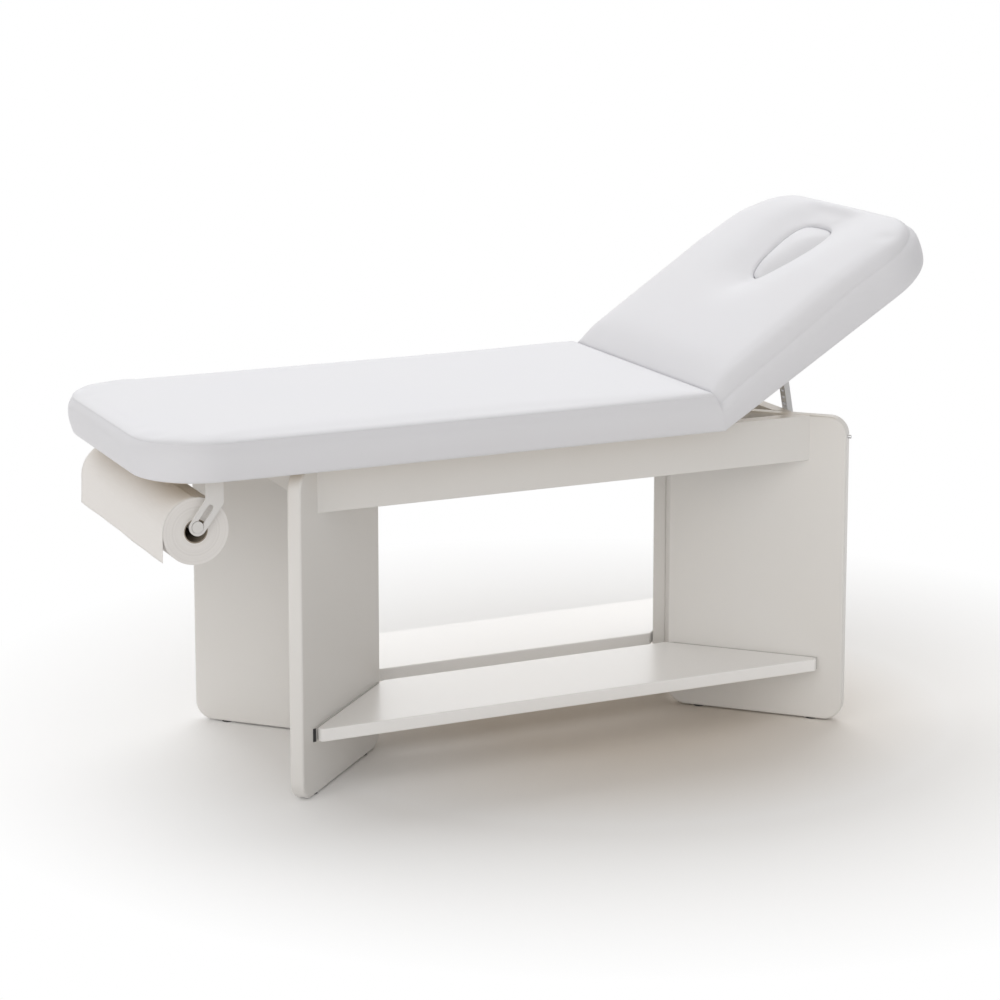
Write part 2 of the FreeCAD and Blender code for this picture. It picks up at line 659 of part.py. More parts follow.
def make_bracket_screws():
    """Screws that hold the guide brackets to the head rail and the strut brackets to the board."""
    face = HEAD_RAIL_FACE + BASE_SHEET
    fixed, moving = [], []
    for share in (-0.4, 0.4):
        place = V(face, STRUT_Y, LOWER.z + BASE_HEIGHT * share)
        fixed.append(screw(place, place - V(SCREW_IN_BOARD + BASE_SHEET, 0, 0), 1.5, SCREW_RADIUS, 3.5))
        under = V(UPPER_FLAT.x + BASE_HEIGHT * share, STRUT_Y, BACK_BOTTOM - BASE_SHEET)
        moving.append(raised(screw(under, under + V(0, 0, SCREW_IN_BOARD), 1.5, SCREW_RADIUS, 3.5)))
    return group(fixed + [mirrored_y(s) for s in fixed]), group(moving + [mirrored_y(s) for s in moving])


# ---- paper roll --------------------------------------------------------------------------------

ROLL_Z = SPINDLE_Z - (CORE_INNER - SPINDLE_RADIUS - GAP)
ARM = V(BRACKET_X - SPINDLE_X, BRACKET_BEND_Z - SPINDLE_Z, 0).normalize()
KEYHOLE_LIFT = KEYHOLE_CLEAR - GAP


def make_roll_bracket():
    """Flat hanger with a keyhole for the spindle and a flange under the seat board."""
    half, arm_half = BRACKET_WIDTH / 2, BRACKET_ARM_WIDTH / 2
    bend = V(BRACKET_X, BRACKET_BEND_Z, 0)
    seat = V(SPINDLE_X, SPINDLE_Z, 0)
    side = V(-ARM.y, ARM.x, 0)
    lean = half * tan((V(0, 1, 0).getAngle(ARM)) / 2)
    low_left = seat - ARM * arm_half + side * arm_half
    low_right = seat - ARM * arm_half - side * arm_half
    corners = [(low_left.x, low_left.y, arm_half - 0.1), (low_right.x, low_right.y, arm_half - 0.1),
               (bend.x + half, bend.y - lean, 12.0), (bend.x + half, FRAME_TOP, 0),
               (bend.x - half, FRAME_TOP, 0), (bend.x - half, bend.y + lean, 12.0)]
    flat = plate(corners, 0, BRACKET_SHEET)
    hole = seat + V(0, KEYHOLE_LIFT, 0)
    top = hole + ARM * KEYHOLE_REACH
    slot_half = side * (KEYHOLE_SLOT / 2)
    flat = flat.cut(Part.makeCylinder(KEYHOLE, 3 * BRACKET_SHEET, hole - V(0, 0, BRACKET_SHEET)))
    flat = flat.cut(Part.makeCylinder(KEYHOLE_SLOT / 2, 3 * BRACKET_SHEET, top - V(0, 0, BRACKET_SHEET)))
    strip = [hole + slot_half, hole - slot_half, top - slot_half, top + slot_half]
    flat = flat.cut(plate([(p.x, p.y, 0) for p in strip], -BRACKET_SHEET, 2 * BRACKET_SHEET))
    hanger = upright(flat, V(0, BRACKET_Y + BRACKET_SHEET, 0), V(1, 0, 0))
    flange = block(BRACKET_X - half, BRACKET_X + half, BRACKET_Y - BRACKET_FLANGE, BRACKET_Y,
                   FRAME_TOP - BRACKET_SHEET, FRAME_TOP)
    return hanger.fuse(flange)


def make_roll_screws():
    screws = []
    for dx in (-BRACKET_WIDTH / 4, BRACKET_WIDTH / 4):
        place = V(BRACKET_X + dx, BRACKET_Y - BRACKET_FLANGE / 2, FRAME_TOP - BRACKET_SHEET)
        screws.append(screw(place, place + V(0, 0, SCREW_IN_BOARD), 2.0, SCREW_RADIUS, 4.0))
    return group(screws + [mirrored_y(s) for s in screws])


def ring(outer, inner, half):
    start = V(SPINDLE_X, -half, ROLL_Z)
    end = V(SPINDLE_X, half, ROLL_Z)
    return rod(outer, start, end).cut(rod(inner, start, end))


def make_tail():
    """Loose end of the paper: a quarter turn over the roll's foot side, then straight down."""
    inner = ROLL_RADIUS + GAP
    outer = inner + TAIL_SHEET
    quarter = block(SPINDLE_X - outer - 1, SPINDLE_X, -ROLL_HALF, ROLL_HALF, ROLL_Z, ROLL_Z + outer + 1)
    wrap = ring(outer, inner, ROLL_HALF).common(quarter)
    drop = block(SPINDLE_X - outer, SPINDLE_X - inner, -ROLL_HALF, ROLL_HALF, ROLL_Z - TAIL_DROP, ROLL_Z)
    return wrap.fuse(drop).removeSplitter()


def make_pegs():
    end = on_panel(PANEL_LENGTH, PEG_Z) + OUTWARD * (PANEL_THICKNESS / 2)
    peg = rod(PEG_RADIUS, end, end + ALONG * PEG_LENGTH)
    return group([peg, mirrored_y(peg)])


# ---- assembly ----------------------------------------------------------------------------------


def both(shape):
    return group([shape, mirrored_y(shape)])


def pair(far_name, near_name, shape):
    parts[far_name] = shape
    parts[near_name] = mirrored_y(shape)


def build_frame():
    frame_dowels, post_dowels, shelf_dowels = make_frame_dowels(), make_post_dowels(), make_shelf_dowels()
    dowels = group([frame_dowels, post_dowels, shelf_dowels])
    panel = make_panel().cut(dowels)
    pair("head_far_panel", "head_near_panel", panel)
    pair("foot_far_panel", "foot_near_panel", mirrored_x(panel))
    post = make_post().cut(post_dowels)
    parts["head_post"] = post
    parts["foot_post"] = mirrored_x(post)
    pair("far_apron", "near_apron", make_apron().cut(frame_dowels))
    board_screws = make_board_screws()
    drilled = group([frame_dowels, board_screws, board_screw_holes()])
    parts["head_rail"] = make_end_rail().cut(frame_dowels)
    parts["foot_rail"] = mirrored_x(make_end_rail()).cut(drilled)
    parts["middle_rail"] = make_cross_rail(0).cut(drilled)
    parts["hinge_rail"] = make_cross_rail(HINGE_RAIL_X).cut(drilled)
    pair("far_shelf", "near_shelf", make_shelf().cut(shelf_dowels))
    parts["shelf_spacers"] = group(four_ways(make_spacer().cut(shelf_dowels)))
    parts["frame_dowels"] = frame_dowels
    parts["post_dowels"] = post_dowels
    parts["shelf_dowels"] = shelf_dowels
    parts["board_screws"] = board_screws
    parts["floor_glides"] = make_glides()
    parts["end_pegs"] = make_pegs()


def build_upholstery():
    fixed_screws = hinge_screws(-1, FRAME_TOP)
    moving_screws = hinge_screws(1, BACK_BOTTOM)
    seat_screws = group([parts["board_screws"], both(group(fixed_screws)), make_roll_screws()])
    board, foam, cover = make_pad(FOOT_X, FRAME_TOP, SEAT_END_LEAN)
    parts["seat_board"] = board.cut(seat_screws)
    parts["seat_foam"] = foam
    parts["seat_cover"] = cover
    board, foam, cover = make_back()
    rail_screws, board_fixings = make_bracket_screws()
    parts["back_board"] = raised(board.cut(both(group(moving_screws)))).cut(board_fixings)
    parts["back_foam"] = raised(foam)
    parts["back_cover"] = raised(cover)
    for name, shape in zip(("plug_board", "plug_foam", "plug_cover"), make_plug()):
        parts[name] = raised(shape)
    parts["hinge_fixed_leaves"] = both(make_fixed_leaf().cut(group(fixed_screws)))
    parts["hinge_moving_leaves"] = raised(both(make_moving_leaf().cut(group(moving_screws))))
    parts["hinge_pins"] = both(make_hinge_pin())
    parts["hinge_fixed_screws"] = both(group(fixed_screws))
    parts["hinge_moving_screws"] = raised(both(group(moving_screws)))
    parts["strut_bracket_screws"] = board_fixings
    parts["guide_bracket_screws"] = rail_screws
    parts["head_rail"] = parts["head_rail"].cut(rail_screws)


def build_struts():
    pair("far_ratchet_bar", "near_ratchet_bar", make_bar())
    pair("far_guide", "near_guide", make_guide())
    pair("far_pawl", "near_pawl", make_pawl())
    parts["strut_brackets"] = both(make_strut_bracket()).cut(parts["strut_bracket_screws"])
    parts["strut_pins"] = both(make_strut_pin())
    parts["guide_brackets"] = both(make_guide_bracket()).cut(parts["guide_bracket_screws"])


def build_roll():
    bracket = make_roll_bracket().cut(make_roll_screws())
    pair("far_roll_bracket", "near_roll_bracket", bracket)
    parts["roll_bracket_screws"] = make_roll_screws()
    reach = V(0, BRACKET_Y + BRACKET_SHEET, 0)
    middle = V(SPINDLE_X, 0, SPINDLE_Z)
    parts["roll_spindle"] = rod(SPINDLE_RADIUS, middle - reach, middle + reach)
    parts["roll_core"] = ring(CORE_INNER + CORE_WALL, CORE_INNER, ROLL_HALF)
    parts["paper_roll"] = ring(ROLL_RADIUS, CORE_INNER + CORE_WALL, ROLL_HALF)
    parts["paper_tail"] = make_tail()


build_frame()
build_upholstery()
build_struts()
build_roll()

head_reach = HINGE_X + BACK_LENGTH * cos(radians(REST_TILT))
lowest_round = BOTTOM_ROUND * (1 - cos(radians(REST_TILT)) - sin(radians(REST_TILT)))
head_reach += lowest_round - BACK_CLEAR * sin(radians(REST_TILT))
SHIFT = -(FOOT_X + head_reach) / 2

os.makedirs("parts", exist_ok=True)
for name, shape in parts.items():
    shape.translate(V(SHIFT, 0, 0))
    shape.exportStep("parts/" + name + ".step")
print("shift", round(SHIFT, 3), "hinge", round(HINGE_X + SHIFT, 3), FRAME_TOP)
print("upper pivot", UPPER + V(SHIFT, 0, 0), "lower pivot", LOWER + V(SHIFT, 0, 0), "lean", STRUT_LEAN)
print("roll", round(SPINDLE_X + SHIFT, 3), round(ROLL_Z, 3), "longest", round(LONGEST, 2))
print(len(parts), "nodes")
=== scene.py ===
"""Looks for a fixed-height wooden treatment couch: its cushions, paper, finishes and stage."""

import math

import bmesh
import bpy
import numpy as np
from bpy.props import FloatProperty, FloatVectorProperty, IntProperty, PointerProperty
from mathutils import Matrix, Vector


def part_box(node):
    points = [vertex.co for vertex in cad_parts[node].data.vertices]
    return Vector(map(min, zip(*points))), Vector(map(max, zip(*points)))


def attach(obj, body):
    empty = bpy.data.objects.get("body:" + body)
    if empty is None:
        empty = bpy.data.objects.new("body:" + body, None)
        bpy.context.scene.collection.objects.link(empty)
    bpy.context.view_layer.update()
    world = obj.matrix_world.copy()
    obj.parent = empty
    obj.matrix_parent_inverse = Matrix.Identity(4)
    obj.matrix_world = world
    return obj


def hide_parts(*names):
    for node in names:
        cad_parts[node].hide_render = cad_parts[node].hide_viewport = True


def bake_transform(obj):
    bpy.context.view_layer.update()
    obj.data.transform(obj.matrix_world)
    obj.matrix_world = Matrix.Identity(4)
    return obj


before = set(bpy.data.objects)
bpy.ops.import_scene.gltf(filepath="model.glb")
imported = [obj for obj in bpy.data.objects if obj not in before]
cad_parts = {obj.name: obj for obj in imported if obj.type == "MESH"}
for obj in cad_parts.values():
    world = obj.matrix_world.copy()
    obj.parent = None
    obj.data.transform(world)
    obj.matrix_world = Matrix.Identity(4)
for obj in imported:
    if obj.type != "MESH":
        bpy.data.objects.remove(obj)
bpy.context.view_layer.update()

bl_info = {
    "name": "Treatment Couch",
    "version": (1, 0, 0),
    "blender": (4, 5, 0),
    "location": "3D View > Sidebar > Couch",
    "description": "Cushions, paper and finishes for a wooden treatment couch",
    "category": "Add Mesh",
}

# The couch's own sizes, in metres
HINGE_X = 0.356986
HINGE_Z = 0.675
REST_TILT = math.radians(31.5)
SEAT_LENGTH = 1.2535
BACK_LENGTH = 0.641
HALF_WIDTH = 0.340
PLAN_CORNER = 0.150
CUSHION_HEIGHT = 0.0885
BOARD_TOP = 0.0185
JOINT_LEAN = math.radians(20.0)
COVER_TOP = CUSHION_HEIGHT - 0.0015  # the covers' upper edge before they swell
BACK_RISE = 0.024  # the most that the backrest is thicker than the seat
RISE_ONSET = 0.08  # the thickening starts within this of the joint
RISE_ALONG = (0.0, 0.10, 0.40, 0.52, 0.64)
RISE_SHARE = (0.42, 0.58, 1.0, 0.90, 0.65)
STRETCH_START = 0.004  # start, along the backrest, of a span by the joint; the points worked out from it are not used
STRETCH_RUN = 0.042
PAINTED_OVER = (0.60, 0.59, 0.57)  # colour of the rubber where it was sprayed with the boards
PAPER_DROP = 0.057
PAPER_THICKNESS = 0.0003
FLOOR_MIDDLE = (0.25, 0.0, 0.0)
ROLL_CENTRE = (-0.786014, 0.5721)
ROLL_RADIUS = 0.067
ROLL_WIDTH = 0.551

LACQUERED = (
    "head_far_panel head_near_panel foot_far_panel foot_near_panel head_post foot_post far_apron near_apron "
    "head_rail foot_rail middle_rail hinge_rail"
).split()
TIMBER = "frame_dowels post_dowels shelf_dowels".split()
PLYWOOD = "seat_board plug_board back_board".split()
ZINC = (
    "board_screws end_pegs hinge_fixed_leaves hinge_fixed_screws hinge_moving_leaves hinge_moving_screws hinge_pins "
    "guide_bracket_screws roll_bracket_screws strut_bracket_screws strut_pins"
).split()
SILVER = (
    "far_ratchet_bar near_ratchet_bar far_guide near_guide far_pawl near_pawl guide_brackets strut_brackets"
).split()
WHITE_STEEL = "far_roll_bracket near_roll_bracket roll_spindle".split()


# ---------------------------------------------------------------- shader maths


class Wire:
    """An output socket whose sums are written as Python expressions."""

    def __init__(self, finish, socket):
        self.finish = finish
        self.socket = socket

    def _maths(self, operation, *values):
        return self.finish.node("ShaderNodeMath", {"operation": operation}, dict(enumerate(values)))

    def __add__(self, other):
        return self._maths("ADD", self, other)

    def __sub__(self, other):
        return self._maths("SUBTRACT", self, other)

    def __mul__(self, other):
        return self._maths("MULTIPLY", self, other)

    def __truediv__(self, other):
        return self._maths("DIVIDE", self, other)

    def __pow__(self, other):
        return self._maths("POWER", self, other)

    __radd__ = __add__
    __rmul__ = __mul__

    def clamp(self):
        """The value kept from 0 to 1."""
        return self.finish.node("ShaderNodeClamp", {}, {"Value": self})

    def part(self, name):
        """Another output of the node that this one comes from."""
        return Wire(self.finish, self.socket.node.outputs[name])


class Finish:
    """One node-based material or world, built up a node at a time."""

    def __init__(self, name, tree=None):
        if tree is None:
            self.material = bpy.data.materials.new(name)
            self.material.use_nodes = True
            tree = self.material.node_tree
        self.tree = tree
        tree.nodes.clear()

    def node(self, kind, settings=None, inputs=None, out=0):
        """Adds a node with its settings and socket values, and gives one output."""
        made = self.tree.nodes.new(kind)
        for key, value in (settings or {}).items():
            setattr(made, key, value)
        for key, value in (inputs or {}).items():
            socket = made.inputs[key]
            if isinstance(value, Wire):
                self.tree.links.new(value.socket, socket)
            elif hasattr(socket.default_value, "__len__") and hasattr(value, "__len__"):
                value = tuple(value)
                socket.default_value = value + (1.0,) * (len(socket.default_value) - len(value))
            else:
                socket.default_value = value
        return Wire(self, made.outputs[out]) if len(made.outputs) else None

    def place(self, scale=(1, 1, 1), centre=(0, 0, 0)):
        """Object coordinates, centred and scaled."""
        where = self.node("ShaderNodeTexCoord", out="Object")
        return self.node(
            "ShaderNodeMapping",
            {"vector_type": "POINT"},
            {
                "Vector": where,
                "Location": tuple(-c * s for c, s in zip(centre, scale)),
                "Scale": scale,
            },
        )

    def noise(self, where, scale, detail=2.0, rough=0.5):
        """Soft random value from 0 to 1."""
        return self.node(
            "ShaderNodeTexNoise", {}, {"Vector": where, "Scale": scale, "Detail": detail, "Roughness": rough}
        )

    def cells(self, where, scale):
        """Distance to the nearest cell's middle."""
        return self.node("ShaderNodeTexVoronoi", {"feature": "F1"}, {"Vector": where, "Scale": scale})

    def wound(self, radius, scale, detail):
        """Random value that changes only with a radius."""
        return self.node(
            "ShaderNodeTexNoise", {"noise_dimensions": "1D"}, {"W": radius * scale, "Scale": 1.0, "Detail": detail}
        )

    def seen(self):
        """1 for rays from the camera, straight, mirrored or through glass."""
        path = self.node("ShaderNodeLightPath", out="Is Camera Ray")
        return (path + path.part("Is Glossy Ray") + path.part("Is Transmission Ray")).clamp()

    def mix(self, factor, a, b):
        """Colour from a to b."""
        return self.node("ShaderNodeMix", {"data_type": "RGBA"}, {0: factor, 6: a, 7: b}, out=2)

    def bump(self, height, strength, distance, under=None):
        """Normal from a height, on top of another bump."""
        inputs = {"Height": height, "Strength": strength, "Distance": distance}
        if under is not None:
            inputs["Normal"] = under
        return self.node("ShaderNodeBump", {}, inputs)

    def surface(self, colour, roughness, normal=None, **constants):
        """Closes the material with its shader."""
        inputs = {"Base Color": colour, "Roughness": roughness}
        if normal is not None:
            inputs["Normal"] = normal
        inputs.update({key.replace("_", " "): value for key, value in constants.items()})
        shader = self.node("ShaderNodeBsdfPrincipled", {}, inputs)
        self.node("ShaderNodeOutputMaterial", {}, {"Surface": shader})
        return self.material


# ---------------------------------------------------------------- finishes


def vinyl(name, colour):
    """Matt upholstery vinyl with a fine pebbled grain and faint wide unevenness."""
    f = Finish(name)
    where = f.place()
    pebble = f.cells(where, 620.0)
    pores = f.noise(where, 1500.0, 1.0)
    slow = f.noise(where, 5.0, 2.0)
    warm = tuple(c * k for c, k in zip(colour, (0.985, 0.98, 0.97)))
    base = f.mix(slow, warm, colour)
    base = f.mix((pebble * 0.9).clamp() * 0.10, base, tuple(c * 0.90 for c in colour))
    grain = f.bump(pebble * 0.7 + pores * 0.3, 0.16, 0.0006)
    drape = f.bump(f.noise(where, 16.0, 2.0), 0.05, 0.004, grain)
    return f.surface(base, 0.46 + slow * 0.06 + pebble * 0.05, drape, Specular_IOR_Level=0.42)


def lacquer(name, colour, sheen=0.30, peel_height=0.0010):
    """Sprayed satin lacquer on board: faint orange peel and slow changes of sheen."""
    f = Finish(name)
    where = f.place()
    peel = f.noise(where, 170.0, 2.0)
    slow = f.noise(where, 3.5, 3.0)
    specks = f.noise(where, 900.0, 1.0)
    base = f.mix(slow, tuple(c * k for c, k in zip(colour, (0.985, 0.975, 0.96))), colour)
    base = f.mix(((specks - 0.62) * 6.0).clamp() * 0.05, base, tuple(c * 0.8 for c in colour))
    normal = f.bump(peel, 0.10, peel_height)
    return f.surface(base, sheen + slow * 0.08 + peel * 0.04, normal)


def plywood(name, face, glue):
    """Birch plywood: long grain on the faces and thin plies on the edges."""
    f = Finish(name)
    grain = f.noise(f.place((6.0, 120.0, 6.0)), 1.0, 6.0, 0.6)
    figure = f.noise(f.place((1.2, 14.0, 1.2)), 1.0, 3.0)
    layers = {"Vector": f.place(), "Scale": 110.0, "Distortion": 0.4}
    plies = f.node("ShaderNodeTexWave", {"bands_direction": "Z"}, layers)
    base = f.mix(grain, face, tuple(c * 0.80 for c in face))
    base = f.mix((figure - 0.5).clamp() * 0.5, base, glue)
    base = f.mix(plies * 0.16, base, glue)
    return f.surface(base, 0.58 + grain * 0.12, f.bump(grain, 0.22, 0.0008))


def timber(name, colour):
    """Turned beech with short flecks."""
    f = Finish(name)
    flecks = f.noise(f.place((30.0, 420.0, 420.0)), 1.0, 2.0)
    rings = f.noise(f.place((8.0, 60.0, 60.0)), 1.0, 4.0)
    base = f.mix(rings, colour, tuple(c * k for c, k in zip(colour, (0.82, 0.76, 0.68))))
    base = f.mix(((flecks - 0.6) * 5.0).clamp() * 0.5, base, tuple(c * 0.55 for c in colour))
    return f.surface(base, 0.52 + flecks * 0.15, f.bump(flecks, 0.15, 0.0005))


def rubber(name, colour, bare_from):
    """Dull black rubber with a dusty bloom, painted over along with the boards except at its bare outer ends."""
    f = Finish(name)
    where = f.place()
    bloom = f.noise(where, 40.0, 4.0)
    base = f.mix(bloom, colour, tuple(c * 1.9 + 0.004 for c in colour))
    across = f.node("ShaderNodeSeparateXYZ", {}, {"Vector": where}).part("Y")
    bare = ((across * across - bare_from**2) / 0.0012).clamp()
    base = f.mix(bare, PAINTED_OVER, base)
    return f.surface(base, 0.68 + bloom * 0.15, f.bump(f.noise(where, 800.0, 2.0), 0.2, 0.0004))


def moulded_plastic(name, colour):
    """Fine spark-eroded moulding texture."""
    f = Finish(name)
    where = f.place()
    spark = f.noise(where, 1300.0, 2.0)
    wear = f.noise(where, 60.0, 3.0)
    base = f.mix(wear, colour, tuple(c * 1.5 for c in colour))
    return f.surface(base, 0.45 + spark * 0.15, f.bump(spark, 0.25, 0.0003))


def zinc(name, colour):
    """Bright zinc plate with a cloudy bloom and drawing lines."""
    f = Finish(name)
    clouds = f.noise(f.place(), 90.0, 4.0)
    lines = f.noise(f.place((20.0, 900.0, 900.0)), 1.0, 2.0)
    base = f.mix(clouds, colour, tuple(c * k for c, k in zip(colour, (0.80, 0.79, 0.76))))
    return f.surface(base, 0.28 + clouds * 0.2 + lines * 0.05, f.bump(lines, 0.08, 0.0002), Metallic=1.0)


def silver_paint(name, colour):
    """Silver-grey baked paint with fine flake."""
    f = Finish(name)
    where = f.place()
    flake = f.cells(where, 2600.0)
    peel = f.noise(where, 260.0, 2.0)
    base = f.mix(flake, colour, tuple(c * 0.82 for c in colour))
    return f.surface(base, 0.36 + flake * 0.10, f.bump(peel, 0.08, 0.0006), Metallic=0.35)


def powder_coat(name, colour):
    """White powder coat with its soft orange peel."""
    f = Finish(name)
    where = f.place()
    peel = f.noise(where, 330.0, 2.0)
    slow = f.noise(where, 12.0, 2.0)
    base = f.mix(slow, colour, tuple(c * k for c, k in zip(colour, (0.97, 0.965, 0.955))))
    return f.surface(base, 0.34 + peel * 0.08, f.bump(peel, 0.16, 0.0009))


def tissue(name, colour, rolled):
    """Couch paper: crepe lines along the roll and, on the rolled ends, the wound layers."""
    f = Finish(name)
    fibre = f.noise(f.place((260.0, 30.0, 260.0)), 1.0, 3.0)
    tooth = f.noise(f.place(), 900.0, 2.0)
    shade = tuple(c * k for c, k in zip(colour, (0.93, 0.915, 0.90)))
    base = f.mix(fibre * 0.5, colour, shade)
    normal = f.bump(fibre * 0.6 + tooth * 0.4, 0.20, 0.0006)
    if rolled:
        centred = f.place(centre=(ROLL_CENTRE[0], 0.0, ROLL_CENTRE[1]))
        axes = f.node("ShaderNodeSeparateXYZ", {}, {"Vector": centred})
        radius = (axes * axes + axes.part("Z") * axes.part("Z")) ** 0.5
        wound = f.wound(radius, 1500.0, 3.0)
        broad = f.wound(radius, 160.0, 2.0)
        base = f.mix(wound * 0.45, base, tuple(c * 0.80 for c in colour))
        base = f.mix((broad - 0.45).clamp() * 0.9, base, tuple(c * 0.78 for c in shade))
        normal = f.bump(wound, 0.30, 0.0008, normal)
    return f.surface(base, 0.82, normal, Specular_IOR_Level=0.25)


def card(name, colour):
    """Wound grey-brown card."""
    f = Finish(name)
    pulp = f.noise(f.place(), 260.0, 5.0, 0.7)
    band = f.noise(f.place((20.0, 60.0, 20.0)), 1.0, 2.0)
    base = f.mix(pulp, colour, tuple(c * 0.72 for c in colour))
    return f.surface(base, 0.86 + band * 0.05, f.bump(pulp, 0.3, 0.0006), Specular_IOR_Level=0.2)


# ---------------------------------------------------------------- shared making


def put_finish(material, nodes):
    """Gives CAD nodes a finish."""
    for name in nodes:
        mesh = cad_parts[name].data
        mesh.materials.clear()
        mesh.materials.append(material)


def piece(name, shape, material):
    """An object at the origin from a finished bmesh, all smooth."""
    mesh = bpy.data.meshes.new(name)
    for face in shape.faces:
        face.smooth = True
    shape.to_mesh(mesh)
    shape.free()
    mesh.materials.append(material)
    made = bpy.data.objects.new(name, mesh)
    bpy.context.scene.collection.objects.link(made)
    return made


def subdivide_for_good(obj):
    """One level of subdivision surface, kept in the mesh."""
    smoother = obj.modifiers.new("round", "SUBSURF")
    smoother.levels = smoother.render_levels = 1
    graph = bpy.context.evaluated_depsgraph_get()
    finished = bpy.data.meshes.new_from_object(obj.evaluated_get(graph))
    obj.modifiers.clear()
    rough, obj.data = obj.data, finished
    finished.name = obj.name
    bpy.data.meshes.remove(rough)
    finished.polygons.foreach_set("use_smooth", [True] * len(finished.polygons))


def swell(shape, held, pressure, cap, frames=20):
    """How far each vertex moves when a cover is blown up by its foam, no more than the cap."""
    bmesh.ops.recalc_face_normals(shape, faces=shape.faces)
    mesh = bpy.data.meshes.new("swelling")
    shape.to_mesh(mesh)
    body = bpy.data.objects.new("swelling", mesh)
    scene = bpy.context.scene
    scene.collection.objects.link(body)
    group = body.vertex_groups.new(name="held")
    group.add([int(k) for k in held], 1.0, "REPLACE")
    cloth = body.modifiers.new("cloth", "CLOTH")
    cloth.point_cache.frame_start = 1
    cloth.point_cache.frame_end = frames
    cloth.collision_settings.use_collision = False
    how = cloth.settings
    how.quality = 6
    how.mass = 0.4
    how.tension_stiffness = how.compression_stiffness = 25.0
    how.shear_stiffness = 12.0
    how.bending_stiffness = 8.0
    how.vertex_group_mass = "held"
    how.use_pressure = True
    how.uniform_pressure_force = pressure
    how.effector_weights.gravity = 0.0
    for number in range(1, frames + 1):
        scene.frame_set(number)
    graph = bpy.context.evaluated_depsgraph_get()
    blown = body.evaluated_get(graph).data
    after = np.empty(len(mesh.vertices) * 3)
    blown.vertices.foreach_get("co", after)
    before = np.empty_like(after)
    mesh.vertices.foreach_get("co", before)
    bpy.data.objects.remove(body)
    bpy.data.meshes.remove(mesh)
    scene.frame_set(1)
    moved = (after - before).reshape(-1, 3)
    if not np.isfinite(moved).all():
        raise RuntimeError("the swelling cover flew apart")
    far = np.maximum(np.linalg.norm(moved, axis=1), 1e-9)
    return moved * (cap * np.tanh(far / cap) / far)[:, None]


# ---------------------------------------------------------------- cushions


